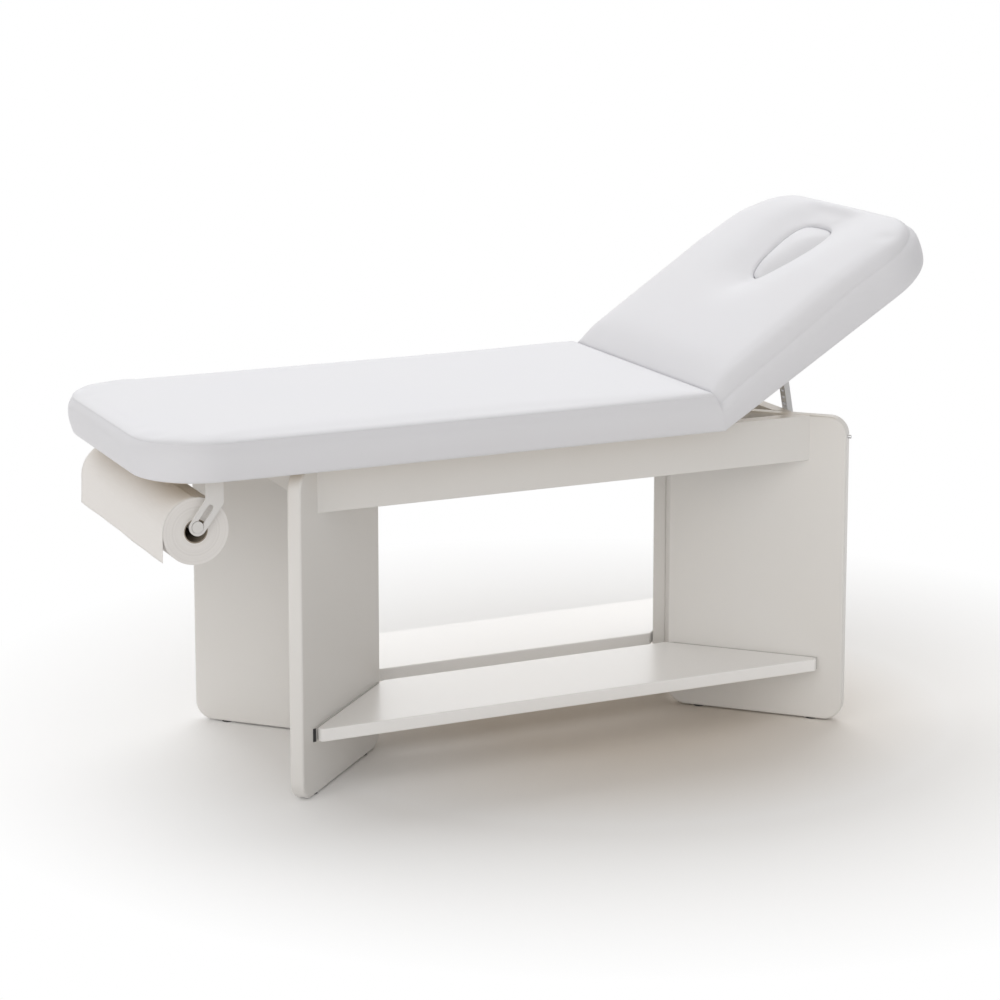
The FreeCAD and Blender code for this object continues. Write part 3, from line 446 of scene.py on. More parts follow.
class Pad:
    """One upholstered pad in its own terms: a from the joint to the round end, y across, h up from the hinge line."""

    ARC = 8
    ACROSS = 30
    ROUND_UNDER = 0.010
    BULGE = 0.008
    SIDE_SWELL = 0.0015
    OVERLAP = -0.0012

    def __init__(self, length, along, lean, edge, joint_edge, place, puff, floor=0.0008, hole=None):
        self.length = length
        self.straight = along
        self.rows = along + self.ARC
        self.columns = self.ACROSS + 2 * self.ARC
        self.lean = lean
        self.edge = edge
        self.joint_edge = joint_edge
        self.place = place
        self.puff = puff
        self.floor = floor
        self.hole = hole
        self.turns = (22, 45, 68, 90) if edge > 0.015 else (45, 90)
        self.seam = len(self.turns) - 1
        self.inset = self.BULGE + edge
        self.top_height = COVER_TOP
        self.loop = (
            [(0, j) for j in range(self.columns)]
            + [(i, self.columns) for i in range(self.rows)]
            + [(self.rows, j) for j in range(self.columns, 0, -1)]
            + [(i, 0) for i in range(self.rows, 0, -1)]
        )

    def rim(self, inset, height, back_off=0.0):
        """Points of the outline pulled in by inset at a height, in the order of the loop."""
        centre = self.length - PLAN_CORNER
        radius = PLAN_CORNER - inset
        flat = HALF_WIDTH - PLAN_CORNER
        first = height * math.tan(self.lean) + back_off
        quarter = math.pi / 4
        side = []
        for i in range(self.rows + 1):
            if i <= self.straight:
                side.append((first + (centre - first) * i / self.straight, HALF_WIDTH - inset))
            else:
                turn = quarter * (i - self.straight) / self.ARC
                side.append((centre + radius * math.sin(turn), flat + radius * math.cos(turn)))
        end = []
        for j in range(self.ARC + 1):
            turn = quarter + quarter * j / self.ARC
            end.append((centre + radius * math.sin(turn), -flat - radius * math.cos(turn)))
        for j in range(1, self.ACROSS):
            end.append((centre + radius, flat * (2 * j / self.ACROSS - 1)))
        end += [(a, -y) for a, y in end[self.ARC :: -1]]
        points = []
        for i, j in self.loop:
            if i == 0:
                points.append((first, (HALF_WIDTH - inset) * (2 * j / self.columns - 1), height))
            elif j == self.columns and i < self.rows:
                points.append((*side[i], height))
            elif i == self.rows:
                points.append((*end[j], height))
            else:
                points.append((side[i][0], -side[i][1], height))
        return np.array(points)

    def profile(self):
        """Loops from the top's edge to the underside: inset, height, and set-back of the joint end."""
        loops = []
        for turn in self.turns:
            turn = math.radians(turn)
            loops.append(
                (
                    self.BULGE + self.edge * (1 - math.sin(turn)),
                    self.top_height - self.edge * (1 - math.cos(turn)),
                    self.joint_edge * (1 - math.sin(turn)),
                )
            )
        high, low = self.top_height - self.edge, self.floor + self.ROUND_UNDER
        for k in range(1, 6):
            height = high + (low - high) * k / 5
            where = 2 * (height - low) / (self.top_height - low) - 1
            loops.append((self.BULGE * where * where - self.SIDE_SWELL, height, self.OVERLAP))
        for turn in (30, 60, 90):
            turn = math.radians(turn)
            loops.append(
                (
                    self.BULGE - self.SIDE_SWELL + self.ROUND_UNDER * (1 - math.cos(turn)),
                    low - self.ROUND_UNDER * math.sin(turn),
                    self.OVERLAP,
                )
            )
        loops.append((0.036, self.floor, 0.003))
        return loops

    def grid(self):
        """Even plan positions of the top's rows and columns, relaxed from its outline."""
        edge = self.rim(self.inset, self.top_height, self.joint_edge)
        plan = np.zeros((self.rows + 1, self.columns + 1, 2))
        for (i, j), point in zip(self.loop, edge):
            plan[i, j] = point[:2]
        u = np.linspace(0, 1, self.rows + 1)[:, None, None]
        v = np.linspace(0, 1, self.columns + 1)[None, :, None]
        corners = (
            (1 - u) * (1 - v) * plan[0, 0]
            + (1 - u) * v * plan[0, -1]
            + u * (1 - v) * plan[-1, 0]
            + u * v * plan[-1, -1]
        )
        filled = (
            (1 - u) * plan[:1] + u * plan[-1:] + (1 - v) * plan[:, :1] + v * plan[:, -1:] - corners
        )
        plan[1:-1, 1:-1] = filled[1:-1, 1:-1]
        for _ in range(500):
            plan[1:-1, 1:-1] = (plan[:-2, 1:-1] + plan[2:, 1:-1] + plan[1:-1, :-2] + plan[1:-1, 2:]) / 4
        return plan

    def crown(self, points):
        """Height of the top over plan points: a slight crown, and the dip round a face hole."""
        a, y = points[:, 0], points[:, 1]
        middle, half = self.length / 2, self.length / 2
        across = 1 - np.clip(np.abs(y) / HALF_WIDTH, 0, 1) ** 3
        lengthwise = 1 - np.clip(np.abs(a - middle) / half, 0, 1) ** 5
        height = self.top_height + self.puff * (across * lengthwise)
        if self.hole:
            height = height - self.hole.dip(points)
        return height


class FaceHole:
    """The hole's outline, wide at the head end, and the soft dip that the cover is pulled into."""

    ROWS = (22, 42)
    COLUMNS = (15, 31)
    ROLL = 0.009

    def __init__(self, depth, reach):
        self.depth = depth
        self.reach = reach
        millimetres = [(352, 0), (355, 15), (372, 33), (400, 48), (432, 59)]
        millimetres += [(467, 67), (502, 70), (531, 65), (545, 46), (548, 22)]
        half = [(s / 1000, y / 1000) for s, y in millimetres]
        dense = np.array(half + [(0.5485, 0.0)] + [(s, -y) for s, y in half[:0:-1]])
        for _ in range(4):
            after = np.roll(dense, -1, axis=0)
            dense = np.stack([0.75 * dense + 0.25 * after, 0.25 * dense + 0.75 * after], axis=1).reshape(-1, 2)
        first = np.argmin(np.linalg.norm(dense - (0.361, -0.024), axis=1))
        self.dense = np.roll(dense, -first, axis=0)
        self.marks = [
            int(np.argmin(np.linalg.norm(self.dense - mark, axis=1)))
            for mark in ((0.361, -0.024), (0.361, 0.024), (0.540, 0.055), (0.540, -0.055))
        ]
        self.middle = self.dense.mean(axis=0)
        m, n = self.ROWS[1] - self.ROWS[0], self.COLUMNS[1] - self.COLUMNS[0]
        self.points = self.sample((n, m, n, m))
        (i0, i1), (j0, j1) = self.ROWS, self.COLUMNS
        self.loop = (
            [(i0, j) for j in range(j0, j1)]
            + [(i, j1) for i in range(i0, i1)]
            + [(i1, j) for j in range(j1, j0, -1)]
            + [(i, j0) for i in range(i1, i0, -1)]
        )

    def sample(self, counts):
        """Evenly spaced outline points, from one corner's middle to the next."""
        closed = np.vstack([self.dense, self.dense[:1]])
        run = np.concatenate([[0], np.cumsum(np.linalg.norm(np.diff(closed, axis=0), axis=1))])
        total = run[-1]
        stops = [run[m] for m in self.marks] + [run[self.marks[0]] + total]
        spans = [np.linspace(stops[k], stops[k + 1], c, endpoint=False) for k, c in enumerate(counts)]
        wanted = np.mod(np.concatenate(spans), total)
        return np.stack([np.interp(wanted, run, closed[:, k]) for k in (0, 1)], axis=1)

    def outward(self, points):
        """Unit directions out of the hole at sampled outline points."""
        along = np.roll(points, -1, axis=0) - np.roll(points, 1, axis=0)
        out = np.stack([along[:, 1], -along[:, 0]], axis=1)
        out /= np.linalg.norm(out, axis=1)[:, None]
        if ((points - self.middle) * out).sum() < 0:
            out = -out
        return out

    def dip(self, points):
        """How far the top is pulled down at plan points."""
        apart = np.linalg.norm(points[:, None, :2] - self.dense[None], axis=2).min(axis=1)
        wide = self.reach * (0.8 + 0.35 * np.clip((points[:, 0] - 0.352) / 0.196, 0, 1))
        pulled = self.depth * np.exp(-((apart / wide) ** 2))
        tip = np.hypot((points[:, 0] - 0.338) / 0.050, points[:, 1] / 0.030)
        return pulled + 0.0045 * np.exp(-(tip**2))


def grow_ring(shape, ring):
    """Extrudes a closed ring of vertices, and gives the new ring in the same order."""
    edges = [shape.edges.get((ring[k - 1], ring[k])) for k in range(len(ring))]
    grown = bmesh.ops.extrude_edge_only(shape, edges=edges)["geom"]
    fresh = {g for g in grown if isinstance(g, bmesh.types.BMVert)}
    return [next(e.other_vert(v) for e in v.link_edges if e.other_vert(v) in fresh) for v in ring]


def stretch_cover(pad, loops, hole_loops=()):
    """A cover over a pad, open underneath: its top, a skirt of loops and its hole's wall, all in order."""
    shape = bmesh.new()
    crease = shape.edges.layers.float.new("crease_edge")
    bmesh.ops.create_grid(shape, x_segments=pad.columns, y_segments=pad.rows, size=1.0)
    spots = {}
    for vertex in shape.verts:
        spots[
            round((vertex.co.y + 1) / 2 * pad.rows),
            round((vertex.co.x + 1) / 2 * pad.columns),
        ] = vertex
    if pad.hole:
        (i0, i1), (j0, j1) = pad.hole.ROWS, pad.hole.COLUMNS
        inside = {spots[i, j] for i in range(i0, i1 + 1) for j in range(j0, j1 + 1)}
        gone = [face for face in shape.faces if all(v in inside for v in face.verts)]
        bmesh.ops.delete(shape, geom=gone, context="FACES")
        spots = {key: vertex for key, vertex in spots.items() if vertex.is_valid}
    rings = []
    for around, count in ((pad.loop, len(loops)), (pad.hole.loop if pad.hole else [], len(hole_loops))):
        ring = [spots[key] for key in around]
        made = []
        for _ in range(count):
            grown = grow_ring(shape, ring)
            for k in (0, pad.columns) if around is pad.loop else ():
                upright = shape.edges.get((ring[k], grown[k]))
                upright[crease] = 1.0
                upright.smooth = False
            ring = grown
            made.append(ring)
        rings.append(made)
    return shape, spots, rings


def close_underside(obj):
    """Closes a cover under its board: flat across, or up to the wall of its hole."""
    shape = bmesh.new()
    shape.from_mesh(obj.data)
    open_edges = [edge for edge in shape.edges if edge.is_boundary]
    loops, left = 0, set(open_edges)
    while left:
        loops += 1
        ahead = [left.pop()]
        while ahead:
            for vertex in ahead.pop().verts:
                near = [edge for edge in vertex.link_edges if edge in left]
                left.difference_update(near)
                ahead += near
    if loops == 1:
        made = bmesh.ops.contextual_create(shape, geom=open_edges)["faces"]
    else:
        made = bmesh.ops.bridge_loops(shape, edges=open_edges)["faces"]
    bmesh.ops.triangulate(shape, faces=made)
    bmesh.ops.recalc_face_normals(shape, faces=shape.faces)
    shape.to_mesh(obj.data)
    shape.free()


def cover_points(pad, loops):
    """Places of the top's vertices and of each skirt loop, in the pad's terms."""
    plan = pad.grid()
    flat = plan.reshape(-1, 2)
    top = np.column_stack([flat, pad.crown(flat)])
    for (i, j), point in zip(pad.loop, pad.rim(pad.inset, pad.top_height, pad.joint_edge)):
        top[i * (pad.columns + 1) + j] = point
    skirt = [pad.rim(*loop) for loop in loops]
    return top.reshape(pad.rows + 1, pad.columns + 1, 3), skirt


def hole_points(pad, top):
    """Loops from the grid's opening down the hole's wall."""
    hole = pad.hole
    outline, out = hole.points, hole.outward(hole.points)
    opening = np.array([top[key] for key in hole.loop])
    loops = []
    brim = outline + out * hole.ROLL
    for share in (0.25, 0.5, 0.75, 1.0):
        plan = opening[:, :2] * (1 - share) + brim * share
        loops.append(np.column_stack([plan, pad.crown(plan)]))
    for turn in (25, 50, 72, 90):
        turn = math.radians(turn)
        plan = outline + out * hole.ROLL * (1 - math.sin(turn))
        sunk = pad.crown(plan) - hole.ROLL * (1 - math.cos(turn))
        loops.append(np.column_stack([plan, sunk]))
    low = loops[-1][:, 2]
    for share in (0.35, 0.7, 1.0):
        loops.append(np.column_stack([outline, low + (BOARD_TOP - 0.0002 - low) * share]))
    return loops


def seat_place(points):
    """Pad terms to the couch, on the seat."""
    points = np.asarray(points)
    return np.column_stack([HINGE_X - points[:, 0], points[:, 1], HINGE_Z + points[:, 2]])


def back_place(points):
    """Pad terms to the couch, on the raised backrest."""
    points = np.array(points, dtype=float)
    along = points[:, 0]
    on = np.clip(along / RISE_ONSET, 0, 1)
    rise = BACK_RISE * on * on * (3 - 2 * on) * np.interp(along, RISE_ALONG, RISE_SHARE)
    # By the joint only the top has the whole rise, and further on the side has it down to the seam
    whole = 0.067 - 0.028 * np.clip((along - 0.08) / 0.32, 0, 1)
    points[:, 2] += rise * np.clip((points[:, 2] - 0.02) / whole, 0, 1)
    c, s = math.cos(REST_TILT), math.sin(REST_TILT)
    return np.column_stack(
        [
            HINGE_X + points[:, 0] * c - points[:, 2] * s,
            points[:, 1],
            HINGE_Z + points[:, 0] * s + points[:, 2] * c,
        ]
    )


def upholster(name, pad, look, material):
    """Cuts a cover, swells it, then sews its seam, and gives the finished cushion."""
    loops = pad.profile()
    top, skirt = cover_points(pad, loops)
    wall = hole_points(pad, top) if pad.hole else []
    shape, spots, (rings, wall_rings) = stretch_cover(pad, loops, wall)
    places = {}
    for key, vertex in spots.items():
        places[vertex] = top[key]
    for ring, points in list(zip(rings, skirt)) + list(zip(wall_rings, wall)):
        for vertex, point in zip(ring, points):
            places[vertex] = point
    for vertex, point in places.items():
        vertex.co = Vector(pad.place([point])[0])
    shape.verts.index_update()
    seam = pad.seam
    shifts = {}
    held = [v.index for ring in rings[seam + 6 :] for v in ring]
    held += [v.index for v in rings[seam]]
    held += [v.index for ring in wall_rings[7:] for v in ring]
    held += [v.index for key, v in spots.items() if key[0] == 0]
    held += [v.index for ring in rings for v in ring[: pad.columns + 1]]
    moved = swell(shape, sorted(set(held)), look.pressure, look.swell)
    shifts = {vertex: moved[vertex.index] for vertex in places}
    shape.free()
    # The finished cover has two more loops at its seam
    extra = 0.0016
    level = loops[seam][1]
    over = (loops[seam][0] - look.seam_ridge, level + extra, 0.0003)
    under = (loops[seam + 1][0] * 0.04 + loops[seam][0] * 0.96, level - extra, pad.OVERLAP)
    groove = (loops[seam][0] + look.seam_depth, level, 0.0)
    full = loops[:seam] + [over, groove, under] + loops[seam + 1 :]
    origin = list(range(seam)) + [seam, seam, seam] + list(range(seam + 1, len(loops)))
    made, spots_now, (rings_now, wall_now) = stretch_cover(pad, full, wall)
    for key, vertex in spots_now.items():
        vertex.co = Vector(pad.place([top[key]])[0])
        if shifts:
            vertex.co += Vector(shifts[spots[key]])
    for ring, loop, source in zip(rings_now, full, origin):
        points = pad.place(pad.rim(*loop))
        for k, (vertex, point) in enumerate(zip(ring, points)):
            vertex.co = Vector(point)
            if shifts:
                vertex.co += Vector(shifts[rings[source][k]])
    for ring, points, old in zip(wall_now, wall, wall_rings):
        for k, (vertex, point) in enumerate(zip(ring, pad.place(points))):
            vertex.co = Vector(point)
            if shifts:
                vertex.co += Vector(shifts[old[k]])
    bmesh.ops.recalc_face_normals(made, faces=made.faces)
    cushion = piece(name, made, material)
    subdivide_for_good(cushion)
    close_underside(cushion)
    return cushion


def face_hole(look):
    """The hole with its dip, from the settings."""
    return FaceHole(look.dip_depth, look.dip_reach)


def settings():
    """The couch's own settings on the scene."""
    return bpy.context.scene.couch


# ---------------------------------------------------------------- settings


DISTANCE = {"unit": "LENGTH", "subtype": "DISTANCE"}
COLOUR = {"size": 3, "subtype": "COLOR"}


class CouchSettings(bpy.types.PropertyGroup):
    """Sizes and colours that a user may change."""

    swell: FloatProperty(
        name="Swell", description="How far a cover may swell over its foam", default=0.0035, **DISTANCE
    )
    pressure: FloatProperty(name="Pressure", description="Pressure of the foam on its cover", default=4.0)
    seam_depth: FloatProperty(
        name="Seam Depth", description="Depth of the seam under a cushion's edge", default=0.0006, **DISTANCE
    )
    seam_ridge: FloatProperty(
        name="Seam Ridge",
        description="How far the upper cover stands over its seam",
        default=0.0003,
        **DISTANCE,
    )
    seat_edge: FloatProperty(
        name="Seat Edge", description="Radius of the seat's upper edge", default=0.009, **DISTANCE
    )
    back_edge: FloatProperty(
        name="Backrest Edge", description="Radius of the backrest's upper edge", default=0.027, **DISTANCE
    )
    back_puff: FloatProperty(
        name="Backrest Puff", description="How far the backrest's middle is crowned", default=0.0065, **DISTANCE
    )
    dip_depth: FloatProperty(
        name="Dip Depth", description="Depth of the dip round the face hole", default=0.0195, **DISTANCE
    )
    dip_reach: FloatProperty(
        name="Dip Reach", description="Width of the dip round the face hole", default=0.064, **DISTANCE
    )
    plug_crown: FloatProperty(
        name="Plug Crown",
        description="How far the face plug's middle stands over its rim",
        default=0.015,
        **DISTANCE,
    )
    vinyl_colour: FloatVectorProperty(
        name="Vinyl", description="Colour of the covers", default=(0.760, 0.762, 0.795), **COLOUR
    )
    lacquer_colour: FloatVectorProperty(
        name="Lacquer", description="Colour of the painted boards", default=(0.775, 0.763, 0.745), **COLOUR
    )
    # The shelves' lacquer is whiter than the boards': partly a whiter finish, partly painted light standing in for
    # the light and the bright reflection on the shelf tops
    shelf_colour: FloatVectorProperty(
        name="Shelf Lacquer", description="Colour of the shelves", default=(0.94, 0.935, 0.93), **COLOUR
    )
    plywood_colour: FloatVectorProperty(
        name="Plywood", description="Colour of the cushion boards", default=(0.68, 0.58, 0.45), **COLOUR
    )
    glue_colour: FloatVectorProperty(
        name="Plies", description="Colour of the plies between", default=(0.44, 0.33, 0.22), **COLOUR
    )
    beech_colour: FloatVectorProperty(
        name="Beech", description="Colour of the dowels", default=(0.60, 0.41, 0.25), **COLOUR
    )
    rubber_colour: FloatVectorProperty(
        name="Rubber", description="Colour of the shelf spacers", default=(0.016, 0.016, 0.017), **COLOUR
    )
    plastic_colour: FloatVectorProperty(
        name="Plastic", description="Colour of the floor glides", default=(0.035, 0.035, 0.037), **COLOUR
    )
    zinc_colour: FloatVectorProperty(
        name="Zinc", description="Colour of screws, pins and hinges", default=(0.66, 0.67, 0.69), **COLOUR
    )
    silver_colour: FloatVectorProperty(
        name="Silver", description="Colour of the strut parts", default=(0.70, 0.71, 0.73), **COLOUR
    )
    coat_colour: FloatVectorProperty(
        name="Powder Coat", description="Colour of the roll holder", default=(0.74, 0.73, 0.72), **COLOUR
    )
    paper_colour: FloatVectorProperty(
        name="Paper", description="Colour of the couch paper", default=(0.88, 0.86, 0.84), **COLOUR
    )
    card_colour: FloatVectorProperty(
        name="Card", description="Colour of the roll's core", default=(0.42, 0.36, 0.29), **COLOUR
    )
    floor_colour: FloatVectorProperty(
        name="Floor", description="Colour of the studio floor", default=(0.94, 0.935, 0.93), **COLOUR
    )
    key_light: FloatProperty(name="Key Light", description="Strength of the soft key light", default=1.43)
    fill_light: FloatProperty(name="Fill Light", description="Strength of the light from the foot end", default=0.91)
    room_light: FloatProperty(name="Room Light", description="Strength of the light from all round", default=0.45)
    floor_clear: FloatProperty(
        name="Floor Clear",
        description="Distance at which the floor starts to turn white",
        default=0.8,
        **DISTANCE,
    )
    floor_white: FloatProperty(
        name="Floor White", description="Distance at which the floor is white", default=1.5, **DISTANCE
    )
    paper_rows: IntProperty(name="Paper Rows", description="Rows of faces along the hanging paper", default=34, min=8)


# ---------------------------------------------------------------- operators


class COUCH_OT_boards(bpy.types.Operator):
    """Finish the painted boards, the plywood and the dowels"""

    bl_idname = "couch.boards"
    bl_label = "Boards"

    def execute(self, context):
        look = settings()
        put_finish(lacquer("satin_lacquer", look.lacquer_colour[:]), LACQUERED)
        # Whiter shelf lacquer: partly a whiter finish, partly painted light for the light and bright reflection on
        # the shelf tops
        put_finish(lacquer("shelf_lacquer", look.shelf_colour[:], 0.24, 0.0001), ["far_shelf", "near_shelf"])
        put_finish(plywood("birch_plywood", look.plywood_colour[:], look.glue_colour[:]), PLYWOOD)
        put_finish(timber("beech_dowel", look.beech_colour[:]), TIMBER)
        return {"FINISHED"}


class COUCH_OT_fittings(bpy.types.Operator):
    """Finish the screws, hinges, struts, roll holder and glides"""

    bl_idname = "couch.fittings"
    bl_label = "Fittings"

    def execute(self, context):
        look = settings()
        put_finish(zinc("zinc_plate", look.zinc_colour[:]), ZINC)
        put_finish(silver_paint("silver_paint", look.silver_colour[:]), SILVER)
        put_finish(powder_coat("white_powder_coat", look.coat_colour[:]), WHITE_STEEL)
        put_finish(moulded_plastic("glide_plastic", look.plastic_colour[:]), ["floor_glides"])
        return {"FINISHED"}


class COUCH_OT_spacers(bpy.types.Operator):
    """Trim the rubber strips between the shelves and the panels back from the shelves' tips"""

    bl_idname = "couch.spacers"
    bl_label = "Rubber Spacers"

    def execute(self, context):
        look = settings()
        shape = bmesh.new()
        shape.from_mesh(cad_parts["shelf_spacers"].data)
        bmesh.ops.remove_doubles(shape, verts=shape.verts, dist=0.00001)
        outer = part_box("shelf_spacers")[1][1]
        for side, away, trim in ((-1, -1, 0.008), (-1, 1, 0.008), (1, -1, 0.013), (1, 1, 0.008)):
            seeds = [v for v in shape.verts if v.co.x * side > 0 and v.co.y * away > 0]
            corner = set(seeds)
            geometry = seeds + [e for e in shape.edges if set(e.verts) <= corner]
            geometry += [f for f in shape.faces if set(f.verts) <= corner]
            cut = bmesh.ops.bisect_plane(
                shape, geom=geometry, plane_co=(0, away * (outer - trim), 0), plane_no=(0, away, 0), clear_outer=True
            )
            rim = [g for g in cut["geom_cut"] if isinstance(g, bmesh.types.BMEdge)]
            bmesh.ops.contextual_create(shape, geom=rim)
        bmesh.ops.recalc_face_normals(shape, faces=shape.faces)
        strips = piece("rubber_strips", shape, rubber("spacer_rubber", look.rubber_colour[:], outer - 0.011))
        strips.data.polygons.foreach_set("use_smooth", [False] * len(strips.data.polygons))
        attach(strips, "frame")
        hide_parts("shelf_spacers")
        return {"FINISHED"}


class COUCH_OT_seat_cushion(bpy.types.Operator):
    """Make the seat's cushion"""

    bl_idname = "couch.seat_cushion"
    bl_label = "Seat Cushion"

    def execute(self, context):
        look = settings()
        pad = Pad(SEAT_LENGTH, 72, JOINT_LEAN, look.seat_edge, 0.004, seat_place, 0.0015)
        cushion = upholster("seat_cushion", pad, look, vinyl("seat_vinyl", look.vinyl_colour[:]))
        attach(cushion, "frame")
        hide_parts("seat_cover", "seat_foam")
        return {"FINISHED"}


class COUCH_OT_back_cushion(bpy.types.Operator):
    """Make the backrest's cushion, whose joint end stays against the seat"""

    bl_idname = "couch.back_cushion"
    bl_label = "Backrest Cushion"

    def execute(self, context):
        look = settings()
        pad = Pad(
            BACK_LENGTH,
            36,
            REST_TILT - JOINT_LEAN,
            look.back_edge,
            0.006,
            back_place,
            look.back_puff,
            floor=0.0013,
            hole=face_hole(look),
        )
        cushion = upholster("back_cushion", pad, look, vinyl("back_vinyl", look.vinyl_colour[:]))
        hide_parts("back_cover", "back_foam")
        along, down = STRETCH_START + STRETCH_RUN * 0.8, CUSHION_HEIGHT - STRETCH_RUN * 0.6
        start, end = back_place([(STRETCH_START, 0.0, CUSHION_HEIGHT), (along, 0.0, down)])
        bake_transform(cushion)
        return {"FINISHED"}


class COUCH_OT_plug_cushion(bpy.types.Operator):
    """Make the crowned plug of the face hole"""

    bl_idname = "couch.plug_cushion"
    bl_label = "Face Plug"

    def execute(self, context):
        look = settings()
        hole = face_hole(look)
        count = 64
        outline = hole.sample((14, 18, 14, 18))
        out = hole.outward(outline)
        middle = np.array([0.462, 0.0])
        brim = COVER_TOP + look.back_puff * 0.95 - look.dip_depth - 0.0050
        rings = []
        for share in (0.12, 0.3, 0.5, 0.68, 0.82, 0.92):
            plan = middle + (outline - out * 0.0065 - middle) * share
            rings.append(np.column_stack([plan, np.full(count, brim + look.plug_crown * (1 - share**2.4))]))
        for turn in (0, 30, 60, 90):
            turn = math.radians(turn)
            plan = outline - out * (0.0005 + 0.006 * (1 - math.sin(turn)))
            rings.append(np.column_stack([plan, np.full(count, brim - 0.006 * (1 - math.cos(turn)))]))
        for height in (0.050, 0.032, BOARD_TOP + 0.0005):
            rings.append(np.column_stack([outline - out * 0.0005, np.full(count, height)]))
        shape = bmesh.new()
        bmesh.ops.create_circle(shape, cap_ends=True, cap_tris=True, segments=count, radius=1.0)
        shape.verts.ensure_lookup_table()
        hub = max(shape.verts, key=lambda v: len(v.link_edges))
        hub.co = Vector(back_place([(*middle, brim + look.plug_crown)])[0])
        ring = sorted((v for v in shape.verts if v is not hub), key=lambda v: math.atan2(v.co.y, v.co.x))
        turned = np.arctan2(outline[:, 1] - middle[1], outline[:, 0] - middle[0])
        order = np.argsort(turned)
        for k, points in enumerate(rings):
            if k:
                ring = grow_ring(shape, ring)
            for vertex, point in zip(ring, back_place(points[order])):
                vertex.co = Vector(point)
        bmesh.ops.contextual_create(shape, geom=[shape.edges.get((ring[n - 1], ring[n])) for n in range(count)])
        bmesh.ops.recalc_face_normals(shape, faces=shape.faces)
        plug = piece("plug_cushion", shape, vinyl("plug_vinyl", tuple(c * 0.985 for c in look.vinyl_colour)))
        subdivide_for_good(plug)
        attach(plug, "plug")
        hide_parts("plug_cover", "plug_foam")
        return {"FINISHED"}


class COUCH_OT_paper(bpy.types.Operator):
    """Make the loose end of the couch paper, and finish the roll and its core"""

    bl_idname = "couch.paper"
    bl_label = "Couch Paper"

    def execute(self, context):
        look = settings()
        put_finish(tissue("rolled_paper", look.paper_colour[:], True), ["paper_roll"])
        put_finish(card("core_card", look.card_colour[:]), ["roll_core"])
        radius = ROLL_RADIUS + 0.00055
        arc = radius * math.pi / 2
        drop = PAPER_DROP
        shape = bmesh.new()
        bmesh.ops.create_grid(shape, x_segments=40, y_segments=look.paper_rows, size=1.0)
        for vertex in shape.verts:
            y = vertex.co.x * ROLL_WIDTH / 2
            run = (1 - (vertex.co.y + 1) / 2) * (arc + drop)
            if run < arc:
                turn = run / radius
                x = -radius * math.sin(turn)
                z = radius * math.cos(turn)
            else:
                past = (run - arc) / drop
                ripple = 0.0009 * math.sin(y * 17.0 + 0.6) + 0.0005 * math.sin(y * 41.0 + 1.9)
                x = -radius - 0.0012 * past**2 + ripple * past**1.5
                z = arc - run
            vertex.co = (ROLL_CENTRE[0] + x, y, ROLL_CENTRE[1] + z)
        bmesh.ops.recalc_face_normals(shape, faces=shape.faces)
        tail = piece("paper_sheet", shape, tissue("hanging_paper", look.paper_colour[:], False))
        outside = tail.modifiers.new("thickness", "SOLIDIFY")
        outside.thickness = PAPER_THICKNESS
        outside.offset = 0.0
        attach(tail, "frame")
        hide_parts("paper_tail")
        return {"FINISHED"}


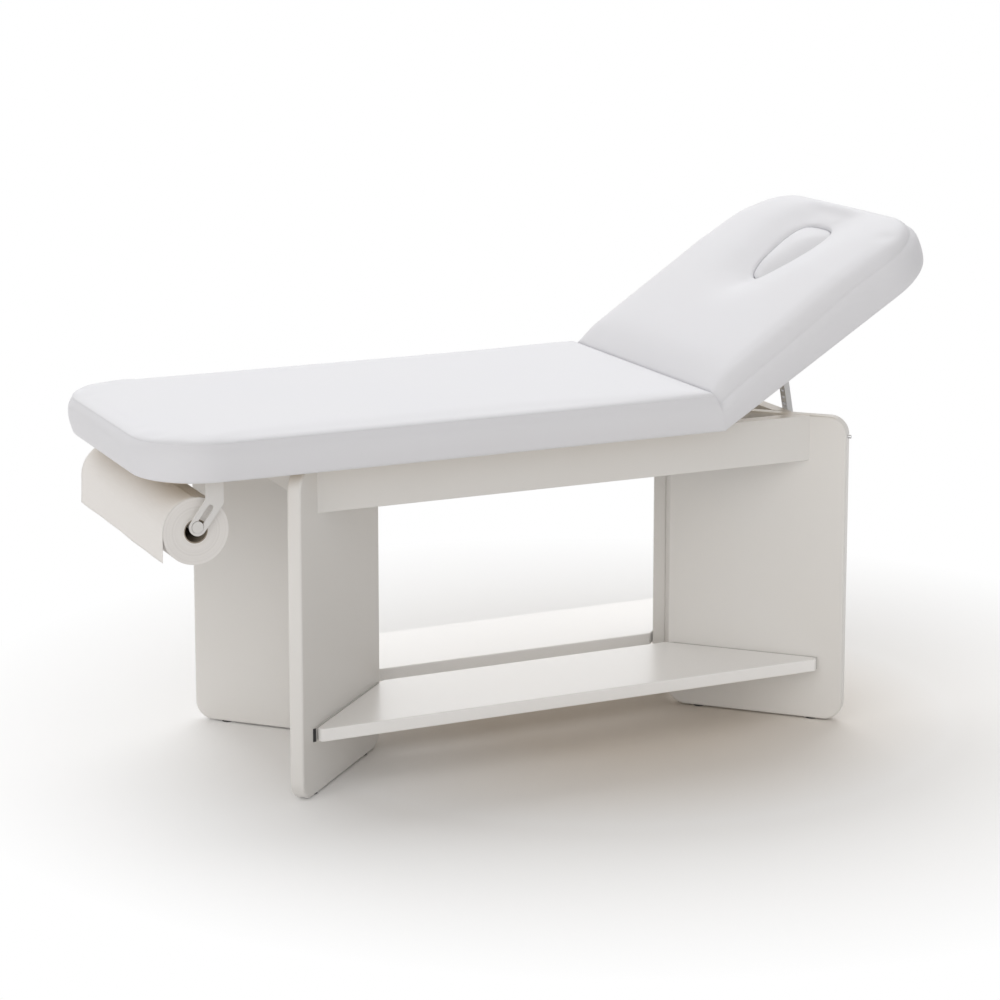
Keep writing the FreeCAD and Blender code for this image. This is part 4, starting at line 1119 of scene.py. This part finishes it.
class COUCH_OT_stage(bpy.types.Operator):
    """Lay the pale floor, light it softly and set the camera"""

    bl_idname = "couch.stage"
    bl_label = "Stage"

    def execute(self, context):
        look = settings()
        scene = context.scene
        scene.view_settings.view_transform = "Standard"
        f = Finish("studio_floor")
        where = f.node("ShaderNodeSeparateXYZ", {}, {"Vector": f.place(centre=FLOOR_MIDDLE)})
        away = (where * where + where.part("Y") * where.part("Y")) ** 0.5
        fade = ((away - look.floor_clear) / (look.floor_white - look.floor_clear)).clamp()
        mottle = f.noise(f.place(), 1.3, 3.0)
        pale = look.floor_colour[:]
        # Painted shadow: the floor is darkened to a warm brown close under the couch, fully within 0.30 of the
        # floor's middle and gone by 0.75
        painted_shadow_tint = tuple(c * k for c, k in zip(pale, (0.82, 0.76, 0.69)))
        base = f.mix(mottle * 0.4, pale, tuple(c * 0.985 for c in pale))
        base = f.mix(((away - 0.30) / 0.45).clamp(), painted_shadow_tint, base)
        dull = {"Base Color": base, "Roughness": 0.75, "Specular IOR Level": 0.2}
        matt = f.node("ShaderNodeBsdfPrincipled", {}, dull)
        white = f.node("ShaderNodeEmission", {}, {"Color": (1.0, 1.0, 1.0), "Strength": 1.0})
        both = f.node("ShaderNodeMixShader", {}, {0: fade * f.seen(), 1: matt, 2: white})
        f.node("ShaderNodeOutputMaterial", {}, {"Surface": both})
        shape = bmesh.new()
        bmesh.ops.create_grid(shape, x_segments=8, y_segments=8, size=40.0)
        floor = piece("studio_floor", shape, f.material)

        world = bpy.data.worlds.new("studio")
        world.use_nodes = True
        scene.world = world
        w = Finish("studio", world.node_tree)
        room = w.node("ShaderNodeBackground", {}, {"Color": (1.0, 0.98, 0.955), "Strength": look.room_light})
        white = w.node("ShaderNodeBackground", {}, {"Color": (1.0, 1.0, 1.0), "Strength": 1.0})
        both = w.node("ShaderNodeMixShader", {}, {0: w.seen(), 1: room, 2: white})
        w.node("ShaderNodeOutputWorld", {}, {"Surface": both})

        for name, strength, spread, colour, toward in (
            ("key", look.key_light, 64.0, (0.975, 0.985, 1.0), (0.22, 0.64, 0.74)),
            ("fill", look.fill_light, 70.0, (1.0, 0.985, 0.965), (-0.67, -0.57, 0.42)),
        ):
            lamp = bpy.data.lights.new(name, "SUN")
            lamp.energy = strength
            lamp.angle = math.radians(spread)
            lamp.color = colour
            held = bpy.data.objects.new(name, lamp)
            held.rotation_euler = Vector(toward).to_track_quat("Z", "Y").to_euler()
            scene.collection.objects.link(held)

        camera = bpy.data.cameras.new("camera")
        camera.lens = 101.45
        camera.sensor_width = 36.0
        camera.shift_y = -0.2172
        camera.clip_end = 200.0
        eye = bpy.data.objects.new("camera", camera)
        eye.location = (-2.4690, -5.3531, 1.9322)
        eye.rotation_euler = (math.radians(80.69), 0.0, math.radians(-24.67))
        scene.collection.objects.link(eye)
        scene.camera = eye
        return {"FINISHED"}


OPERATORS = (
    COUCH_OT_stage,
    COUCH_OT_boards,
    COUCH_OT_fittings,
    COUCH_OT_spacers,
    COUCH_OT_seat_cushion,
    COUCH_OT_back_cushion,
    COUCH_OT_plug_cushion,
    COUCH_OT_paper,
)


class COUCH_PT_sidebar(bpy.types.Panel):
    """The couch's settings and pieces"""

    bl_idname = "COUCH_PT_sidebar"
    bl_label = "Treatment Couch"
    bl_space_type = "VIEW_3D"
    bl_region_type = "UI"
    bl_category = "Couch"

    def draw(self, context):
        column = self.layout.column()
        for name in CouchSettings.__annotations__:
            column.prop(context.scene.couch, name)
        for operator in OPERATORS:
            column.operator(operator.bl_idname)


CLASSES = (CouchSettings, *OPERATORS, COUCH_PT_sidebar)


def register():
    for cls in CLASSES:
        bpy.utils.register_class(cls)
    bpy.types.Scene.couch = PointerProperty(type=CouchSettings)


def unregister():
    del bpy.types.Scene.couch
    for cls in reversed(CLASSES):
        bpy.utils.unregister_class(cls)


def main():
    """Makes everything in order."""
    register()
    bpy.ops.couch.stage()
    bpy.ops.couch.boards()
    bpy.ops.couch.fittings()
    bpy.ops.couch.spacers()
    bpy.ops.couch.seat_cushion()
    bpy.ops.couch.back_cushion()
    bpy.ops.couch.plug_cushion()
    bpy.ops.couch.paper()


if __name__ == "__main__":
    main()
